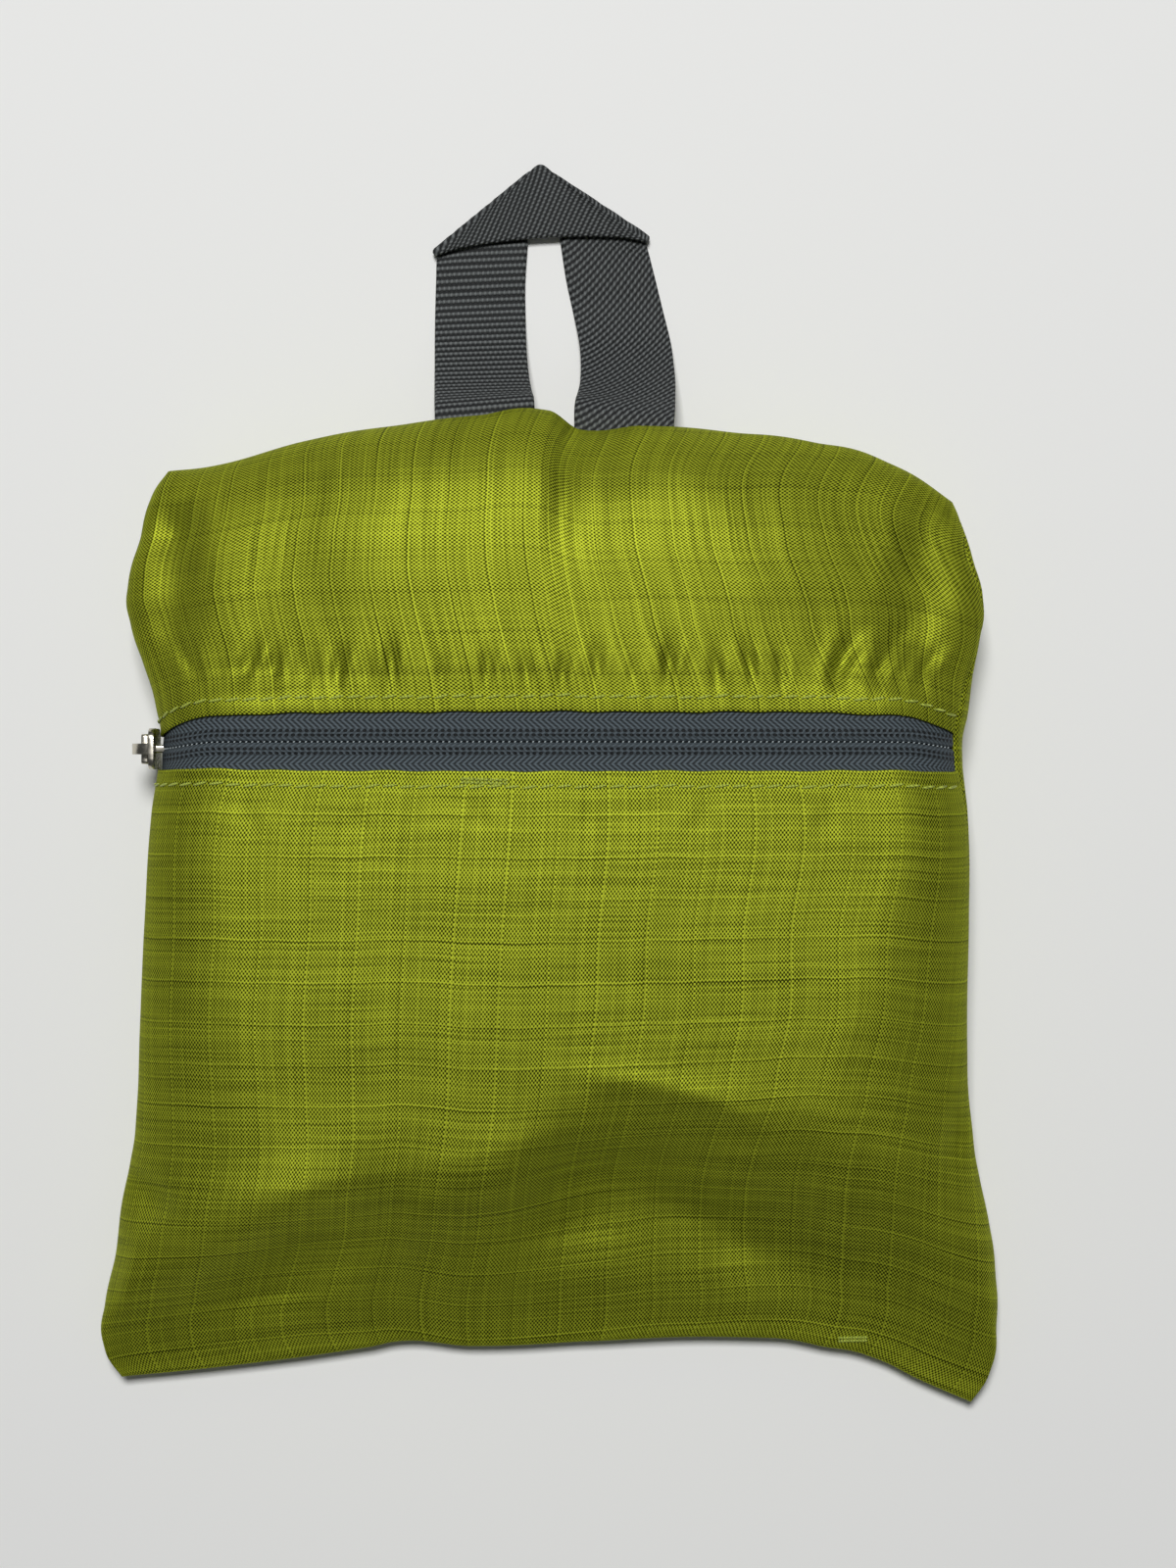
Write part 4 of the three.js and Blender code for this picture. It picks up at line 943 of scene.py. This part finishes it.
# %% Sew the seams
STITCH_PITCH, STITCH_IN = 3.5, 3.1
seam_c = np.linspace(-0.985, 0.985, 300)
stitch_pieces = []
for label, way in (("upper", 1), ("lower", -1)):
    bm = bmesh.new()
    rows = row_at_offset(seam_c, way * (hem_offset(seam_c, way) + STITCH_IN))
    sew(bm, *line_on_skin(1, seam_c, rows), STITCH_PITCH, 3.2, sway=0.16)
    stitch_pieces.append(thread_piece(f"topstitch_{label}", bm))
    print(stitch_pieces[-1].name, "faces:", len(stitch_pieces[-1].data.polygons))


# Where the seam was begun and ended, the stitches lie close together.
TACKS = {"back_tack": ((-17.3, 0.9), (-7.5, 0.6), 0.95), "bar_tack": ((60.8, -116.6), (67.0, -116.4), 0.5)}
for label, (first, last, pitch) in TACKS.items():
    bm = bmesh.new()
    x = np.linspace(first[0], last[0], 30)
    y = np.linspace(first[1], last[1], 30)
    for sideways in (-0.35, 0.35):
        c, w = np.zeros_like(x), np.zeros_like(x)
        for _ in range(30):
            miss = np.stack([x, y + sideways], axis=-1) - DRAWN_FROM - panel_point(1, c, w)[:, :2]
            c += miss[:, 0] / HALF_WIDTH
            w += miss[:, 1] / LOWER_LENGTH
        sew(bm, *line_on_skin(1, c, w), pitch, pitch * 1.1, sway=0.5)
    stitch_pieces.append(thread_piece(label, bm))
    print(label, "faces:", len(stitch_pieces[-1].data.polygons))


def thread_material():
    """Spun polyester sewing thread, green and lighter than the cloth, partly its own colour and partly a
    painted highlight: matt, with a twist.
    """
    material, tree = new_material("polyester_sewing_thread")
    coordinates = add_node(tree, "ShaderNodeTexCoord")
    twist = add_node(tree, "ShaderNodeTexWave", {"wave_type": "BANDS", "bands_direction": "DIAGONAL"},
                     Vector=coordinates.outputs["Object"], Scale=900.0, Distortion=0.5)
    # The lighter end of the twist stands for the highlight on the round thread: a painted highlight.
    colour = add_node(tree, "ShaderNodeMix", {"data_type": "RGBA"}, i0=twist.outputs["Fac"],
                      i6=linear("#7d8a22"), i7=linear("#bccb4a")).outputs[2]
    shader = add_node(tree, "ShaderNodeBsdfPrincipled", Base_Color=colour, Roughness=0.7,
                      Sheen_Weight=0.2)
    add_node(tree, "ShaderNodeOutputMaterial", Surface=shader.outputs["BSDF"])
    return material


thread = thread_material()
for piece in stitch_pieces:
    piece.data.materials.append(thread)

# %% [markdown]
# ## The hang loop
# One strip of 20 mm webbing is folded at two mitred corners. Its points are the rows that the solid
# strip has, smoothed and set close together, and a flat rounded section is swept along them. The
# weft shows as ribs across the strip, with painted light on their tops and painted shade between them.

# %% Rows of the strip
WEB_WIDTH, WEB_THICKNESS, LOOP_REACH, LEG_SPREAD = 20, 1.5, 57.5, 15
FOLD_OPENING, FOOT_REACH = 0.5, 6
FOOT_TUCK = 5
RIB_IN_LEG, RIB_IN_BAND = 1.42, 1.10
LEGS = table(
    "up left right wide height",
    (0.00, -0.985, 0.93, 1.03, 1.00), (0.05, -0.995, 0.945, 1.03, 0.90), (0.12, -1.015, 0.965, 1.02, 0.70),
    (0.20, -1.042, 0.988, 1.00, 0.47), (0.28, -1.066, 0.982, 0.98, 0.27), (0.36, -1.082, 0.955, 0.97, 0.12),
    (0.48, -1.090, 0.86, 0.96, 0.00), (0.60, -1.084, 0.755, 0.95, 0.00),
)
PEAK = {"left_shoulder": (-1.711, 0.680), "left_crown": (-0.351, 0.9915),
        "right_crown": (-0.107, 0.9863), "right_shoulder": (1.262, 0.7306)}
seam_height = float(waist_at(0.0, 1.0))
web_low = WEB_THICKNESS / 2
fold_radius = (WEB_THICKNESS + FOLD_OPENING) / 2
loop_foot = float(top_rise(0.1)) * UPPER_LENGTH
shares = np.linspace(0, 1, 5)[:, None]


def top_edge(x):
    nearby = np.array([-1, -0.5, 0, 0.5, 1]) * FOOT_REACH + x
    q = across_share(nearby, 1.0)
    return float(np.max(edge_length(q, np.ones_like(q)))) + GAP


def leg_rows(column, outer):
    rows = []
    for up, middle, wide, height in zip(LEGS["up"], LEGS[column] * LEG_SPREAD, LEGS["wide"], LEGS["height"]):
        half = outer * wide * WEB_WIDTH / 2
        edges = np.array([middle + half, middle - half])
        x = edges[0] + (edges[1] - edges[0]) * shares[:, 0]
        curved = np.array([top_edge(v) for v in x]) + up * LOOP_REACH
        y = curved + (loop_foot + up * LOOP_REACH - curved) * ease(up / 0.2)
        z = np.full(5, web_low + (seam_height - 2 * web_low) * height)
        rows.append(np.stack([x, y, z], axis=-1))
    return rows


def peak_point(name):
    x, up = PEAK[name]
    return np.array((x * LEG_SPREAD, loop_foot + up * LOOP_REACH, web_low))


def fold_line(first, last):
    return peak_point(first) + (peak_point(last) - peak_point(first)) * shares


def over_fold(line, way, up):
    """Rows that carry the strip round a fold line, from one layer to the other."""
    along = unit(line[-1] - line[0])
    outward = np.array((-along[1] * way, along[0] * way, 0)) * (1 - ease((shares - 0.7) / 0.3))
    rise = np.array((0, 0, up * fold_radius))
    return [line + outward * fold_radius * math.sin(a) + rise * (1 - math.cos(a))
            for a in np.linspace(0, math.pi, 9)]


def between(first, last, count):
    return [first + (last - first) * (i + 1) / (count + 1) for i in range(count)]


left_leg, right_leg = leg_rows("left", -1), leg_rows("right", 1)
left_fold = fold_line("left_shoulder", "left_crown")
right_fold = fold_line("right_shoulder", "right_crown")
over_left = over_fold(left_fold, 1, 1)
over_right = over_fold(right_fold + np.array((0, 0, 2 * fold_radius)), -1, -1)
band = between(over_left[-1], over_right[0], 9)
for i, row in enumerate(band):
    bow = math.sin(math.pi * (i + 1) / (len(band) + 1)) ** 0.6 * LOOP_REACH
    row[:, 1] += bow * np.linspace(0.040, 0.028, 5)
tuck = np.array((0, -FOOT_TUCK, 0.6))
strip_rows = np.array(
    [left_leg[0] + tuck] + left_leg + between(left_leg[-1], left_fold, 2) + over_left + band
    + over_right + between(right_fold, right_leg[-1], 2) + right_leg[::-1] + [right_leg[0] + tuck]
)
print("control rows of the strip:", len(strip_rows))


# %% Sweep the webbing's section along the rows
RIB_HEIGHT = 0.16
WARP_PITCH = 1.07


def resampled(rows, step):
    """Rows at even steps along the strip's middle, on a smooth curve through the given rows."""
    middle = rows[:, rows.shape[1] // 2]
    at = np.concatenate([[0], np.cumsum(np.linalg.norm(np.diff(middle, axis=0), axis=1))])
    low = np.maximum(np.arange(len(at)) - 1, 0)
    high = np.minimum(np.arange(len(at)) + 1, len(at) - 1)
    slopes = (rows[high] - rows[low]) / (at[high] - at[low])[:, None, None]
    s = np.arange(0, at[-1], step)
    i = np.clip(np.searchsorted(at, s, side="right") - 1, 0, len(at) - 2)
    span = (at[i + 1] - at[i])[:, None, None]
    t = ((s - at[i]) / (at[i + 1] - at[i]))[:, None, None]
    h00, h10 = 2 * t ** 3 - 3 * t ** 2 + 1, t ** 3 - 2 * t ** 2 + t
    h01, h11 = -2 * t ** 3 + 3 * t ** 2, t ** 3 - t ** 2
    made = h00 * rows[i] + h10 * span * slopes[i] + h01 * rows[i + 1] + h11 * span * slopes[i + 1]
    return made, s


def section(width, thickness):
    """Share across and height of each point round a flat section with round edges."""
    half, radius = width / 2, thickness / 2
    flat = np.linspace(-half + radius, half - radius, 21)
    arc = np.linspace(math.pi / 2, -math.pi / 2, 6)[1:-1]
    top = [(x, radius) for x in flat]
    right = [(half - radius + radius * math.cos(a), radius * math.sin(a)) for a in arc]
    return np.array(top + right + [(-x, -z) for x, z in top] + [(-x, -z) for x, z in right] + [top[0]])


def webbing():
    rows, s = resampled(strip_rows, 0.2)
    across = rows[:, -1] - rows[:, 0]
    width = np.linalg.norm(across, axis=1, keepdims=True)
    middle = rows[:, rows.shape[1] // 2]
    along = unit(np.gradient(middle, axis=0))
    normal = unit(np.cross(unit(across), along))
    shape = section(WEB_WIDTH, WEB_THICKNESS - 2 * RIB_HEIGHT)
    # The weft lies closer together where the strip is bent over the top.
    in_band = ease((middle[:, 1] - peak_point("left_shoulder")[1]) / 6)
    pitch = RIB_IN_LEG + (RIB_IN_BAND - RIB_IN_LEG) * in_band
    points, threads = [], []
    for x, z in shape:
        base = rows[:, 0] + across * (x / WEB_WIDTH + 0.5)
        steps = np.linalg.norm(np.diff(base, axis=0), axis=1)
        ribs = np.concatenate([[0], np.cumsum(steps / ((pitch[1:] + pitch[:-1]) / 2))])
        edge = 1 - (abs(x) / (WEB_WIDTH / 2)) ** 12
        rib = RIB_HEIGHT * (0.5 + 0.5 * np.cos(2 * np.pi * ribs)) * edge * np.sign(z)
        points.append(base + normal * (z + rib)[:, None])
        threads.append(np.stack([np.full_like(s, x), ribs], axis=-1))
    return np.array(points).transpose(1, 0, 2), np.array(threads).transpose(1, 0, 2)


web_points, web_threads = webbing()
loop = laid_grid("webbing_loop", web_points, web_threads)
bm = bmesh.new()
bm.from_mesh(loop.data)
bmesh.ops.remove_doubles(bm, verts=bm.verts, dist=0.00001)
bmesh.ops.holes_fill(bm, edges=[e for e in bm.edges if e.is_boundary])
bmesh.ops.recalc_face_normals(bm, faces=bm.faces)
bm.to_mesh(loop.data)
bm.free()
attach(loop, "pouch")
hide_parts("hang_loop")
print("webbing faces:", len(loop.data.polygons), "ribs:", round(float(web_threads[-1, 0, 1])))


# %% The webbing's finish
def webbing_material():
    """Polypropylene webbing, dark grey: dull ribs, painted lighter on top and darker between as light and
    shade, with the warp's small bright spots on them, painted glints.
    """
    material, tree = new_material("polypropylene_webbing_ribbed")
    math_node = "ShaderNodeMath"
    uv = add_node(tree, "ShaderNodeUVMap", {"uv_map": "threads"})
    split = add_node(tree, "ShaderNodeSeparateXYZ", Vector=uv)
    x, ribs = split.outputs["X"], split.outputs["Y"]
    full_turn = add_node(tree, math_node, {"operation": "MULTIPLY"}, i0=ribs, i1=2 * math.pi)
    rib_light_and_shade = add_node(tree, math_node, {"operation": "COSINE"}, i0=full_turn)
    half_turn = add_node(tree, math_node, {"operation": "MULTIPLY"}, i0=ribs, i1=math.pi)
    stagger = add_node(tree, math_node, {"operation": "COSINE"}, i0=half_turn)
    warp_turn = add_node(tree, math_node, {"operation": "MULTIPLY"}, i0=x, i1=2 * math.pi / WARP_PITCH)
    warp = add_node(tree, math_node, {"operation": "COSINE"}, i0=warp_turn)
    floats_and_glints = add_node(tree, math_node, {"operation": "MULTIPLY"}, i0=stagger, i1=warp)
    fuzz = add_node(tree, "ShaderNodeTexNoise", {"noise_dimensions": "2D"}, Vector=uv, Scale=3.5,
                    Detail=3.0)
    # The ribs are painted lighter on top and darker in the gaps between them: painted light and painted
    # shade over the strip's real ribs.
    level = add_node(tree, math_node, {"operation": "MULTIPLY_ADD"}, i0=rib_light_and_shade, i1=0.42, i2=0.20)
    # Where the warp lies on top, small bright spots are painted as glints. The same pattern also raises the
    # bump.
    level = add_node(tree, math_node, {"operation": "MULTIPLY_ADD"}, i0=floats_and_glints, i1=0.22, i2=level)
    grain = add_node(tree, math_node, {"operation": "SUBTRACT"}, i0=fuzz.outputs["Fac"], i1=0.5)
    level = add_node(tree, math_node, {"operation": "MULTIPLY_ADD"}, i0=grain, i1=0.5, i2=level)
    colour = add_node(tree, "ShaderNodeMix", {"data_type": "RGBA", "clamp_factor": True}, i0=level,
                      i6=linear("#161819"), i7=linear("#7e8282")).outputs[2]
    height = add_node(tree, math_node, {"operation": "MULTIPLY_ADD"}, i0=floats_and_glints, i1=1.6,
                      i2=fuzz.outputs["Fac"])
    bump = add_node(tree, "ShaderNodeBump", Strength=0.8, Distance=0.00009, Height=height)
    shader = add_node(tree, "ShaderNodeBsdfPrincipled", Base_Color=colour, Roughness=0.7,
                      Specular_IOR_Level=0.35, Normal=bump)
    add_node(tree, "ShaderNodeOutputMaterial", Surface=shader)
    return material


loop.data.materials.append(webbing_material())
print("rib pitch, mm:", RIB_IN_LEG, RIB_IN_BAND)

# %% [markdown]
# ## Slider, pull and coil
# The slider and its pull are cast zinc with nickel plating. The solids have the right shape but sharp
# edges, so a merged copy gets a fine bevel. The coil behind the tape stays as the solid gives it.

# %% Metal with soft edges
def nickel_material():
    """Nickel plate on die-cast zinc: bright, warm grey, with fine tumbling marks."""
    material, tree = new_material("nickel_plated_zinc")
    coordinates = add_node(tree, "ShaderNodeTexCoord")
    marks = add_node(tree, "ShaderNodeTexNoise", Vector=coordinates.outputs["Object"], Scale=900.0,
                     Detail=4.0)
    rough = add_node(tree, "ShaderNodeMapRange", Value=marks.outputs["Fac"], To_Min=0.16, To_Max=0.36)
    bump = add_node(tree, "ShaderNodeBump", Strength=0.15, Distance=0.00003, Height=marks.outputs["Fac"])
    shader = add_node(tree, "ShaderNodeBsdfPrincipled", Base_Color=linear("#c9c4b6"), Metallic=1.0,
                      Roughness=rough.outputs["Result"], Normal=bump.outputs["Normal"])
    add_node(tree, "ShaderNodeOutputMaterial", Surface=shader.outputs["BSDF"])
    return material


nickel = nickel_material()


def bevelled_copy(node, name, body, width):
    """A merged copy of a solid with its sharp edges rounded."""
    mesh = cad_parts[node].data.copy()
    mesh.name = name
    mesh.materials.clear()
    bm = bmesh.new()
    bm.from_mesh(mesh)
    bmesh.ops.remove_doubles(bm, verts=bm.verts, dist=0.000005)
    bmesh.ops.dissolve_limit(bm, angle_limit=math.radians(4), verts=bm.verts, edges=bm.edges)
    bm.to_mesh(mesh)
    bm.free()
    mesh.polygons.foreach_set("use_smooth", np.ones(len(mesh.polygons), bool))
    obj = bpy.data.objects.new(name, mesh)
    bpy.context.scene.collection.objects.link(obj)
    bevel = obj.modifiers.new("edges", "BEVEL")
    bevel.width = width * MM
    bevel.segments = 3
    bevel.limit_method = "ANGLE"
    bevel.angle_limit = math.radians(40)
    bevel.harden_normals = True
    mesh.materials.append(nickel)
    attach(obj, body)
    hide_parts(node)
    return obj


slider = bevelled_copy("zip_slider", "slider_casting", "pouch", 0.22)
pull = bevelled_copy("pull_tab", "pull_casting", "pull", 0.22)
print("metal pieces:", slider.name, pull.name)


# %% Coil behind the tape
def nylon_material(name, colour):
    """Nylon monofilament of the coil: a little glossy, in turns, lighter where it catches the light."""
    material, tree = new_material(name)
    coordinates = add_node(tree, "ShaderNodeTexCoord")
    turns = add_node(tree, "ShaderNodeTexWave", {"wave_type": "BANDS", "bands_direction": "X"},
                     Vector=coordinates.outputs["Object"], Scale=110.0)
    bump = add_node(tree, "ShaderNodeBump", Strength=0.6, Distance=0.0002, Height=turns.outputs["Fac"])
    shader = add_node(tree, "ShaderNodeBsdfPrincipled", Base_Color=linear(colour), Roughness=0.4,
                      Normal=bump.outputs["Normal"])
    add_node(tree, "ShaderNodeOutputMaterial", Surface=shader.outputs["BSDF"])
    return material


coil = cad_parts["zipper_coil"]
coil.data.materials.clear()
coil.data.materials.append(nylon_material("nylon_monofilament_coil", "#22282b"))
# The turns are a pale copy of the coil's dark nylon: their pale colour is a painted highlight on their tops.
coil_turns.data.materials.append(nylon_material("nylon_monofilament_turns_painted_highlight", "#aab4b6"))
print("coil slots:", len(coil.data.materials))

# %% [markdown]
# ## The folded bag inside
# Nothing of it shows, but the pouch is not empty: a crumpled lump of the same cloth fills it.

# %% Crumpled bundle
bundle_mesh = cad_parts["packed_bag"].data.copy()
bundle_mesh.materials.clear()
bm = bmesh.new()
bm.from_mesh(bundle_mesh)
bmesh.ops.remove_doubles(bm, verts=bm.verts, dist=0.000005)
bmesh.ops.subdivide_edges(bm, edges=bm.edges, cuts=2, use_grid_fill=True)
bmesh.ops.smooth_vert(bm, verts=bm.verts, factor=0.5, use_axis_x=True, use_axis_y=True, use_axis_z=True)
bm.normal_update()
for vertex in bm.verts:
    crumple = noise.noise(vertex.co * 60) * 0.6 + noise.noise(vertex.co * 170) * 0.35 - 2.2
    vertex.co += vertex.normal * crumple * 1.6 * MM
bm.to_mesh(bundle_mesh)
bm.free()
bundle_mesh.polygons.foreach_set("use_smooth", np.ones(len(bundle_mesh.polygons), bool))
bundle = bpy.data.objects.new("folded_bundle", bundle_mesh)
bpy.context.scene.collection.objects.link(bundle)
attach(bundle, "pouch")
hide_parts("packed_bag")
folded_material, tree = new_material("ripstop_nylon_folded")
folded = add_node(tree, "ShaderNodeBsdfPrincipled", Base_Color=linear("#69721f"), Roughness=0.6,
                  Sheen_Weight=0.2)
add_node(tree, "ShaderNodeOutputMaterial", Surface=folded.outputs["BSDF"])
bundle_mesh.materials.append(folded_material)
print("bundle faces:", len(bundle_mesh.polygons))
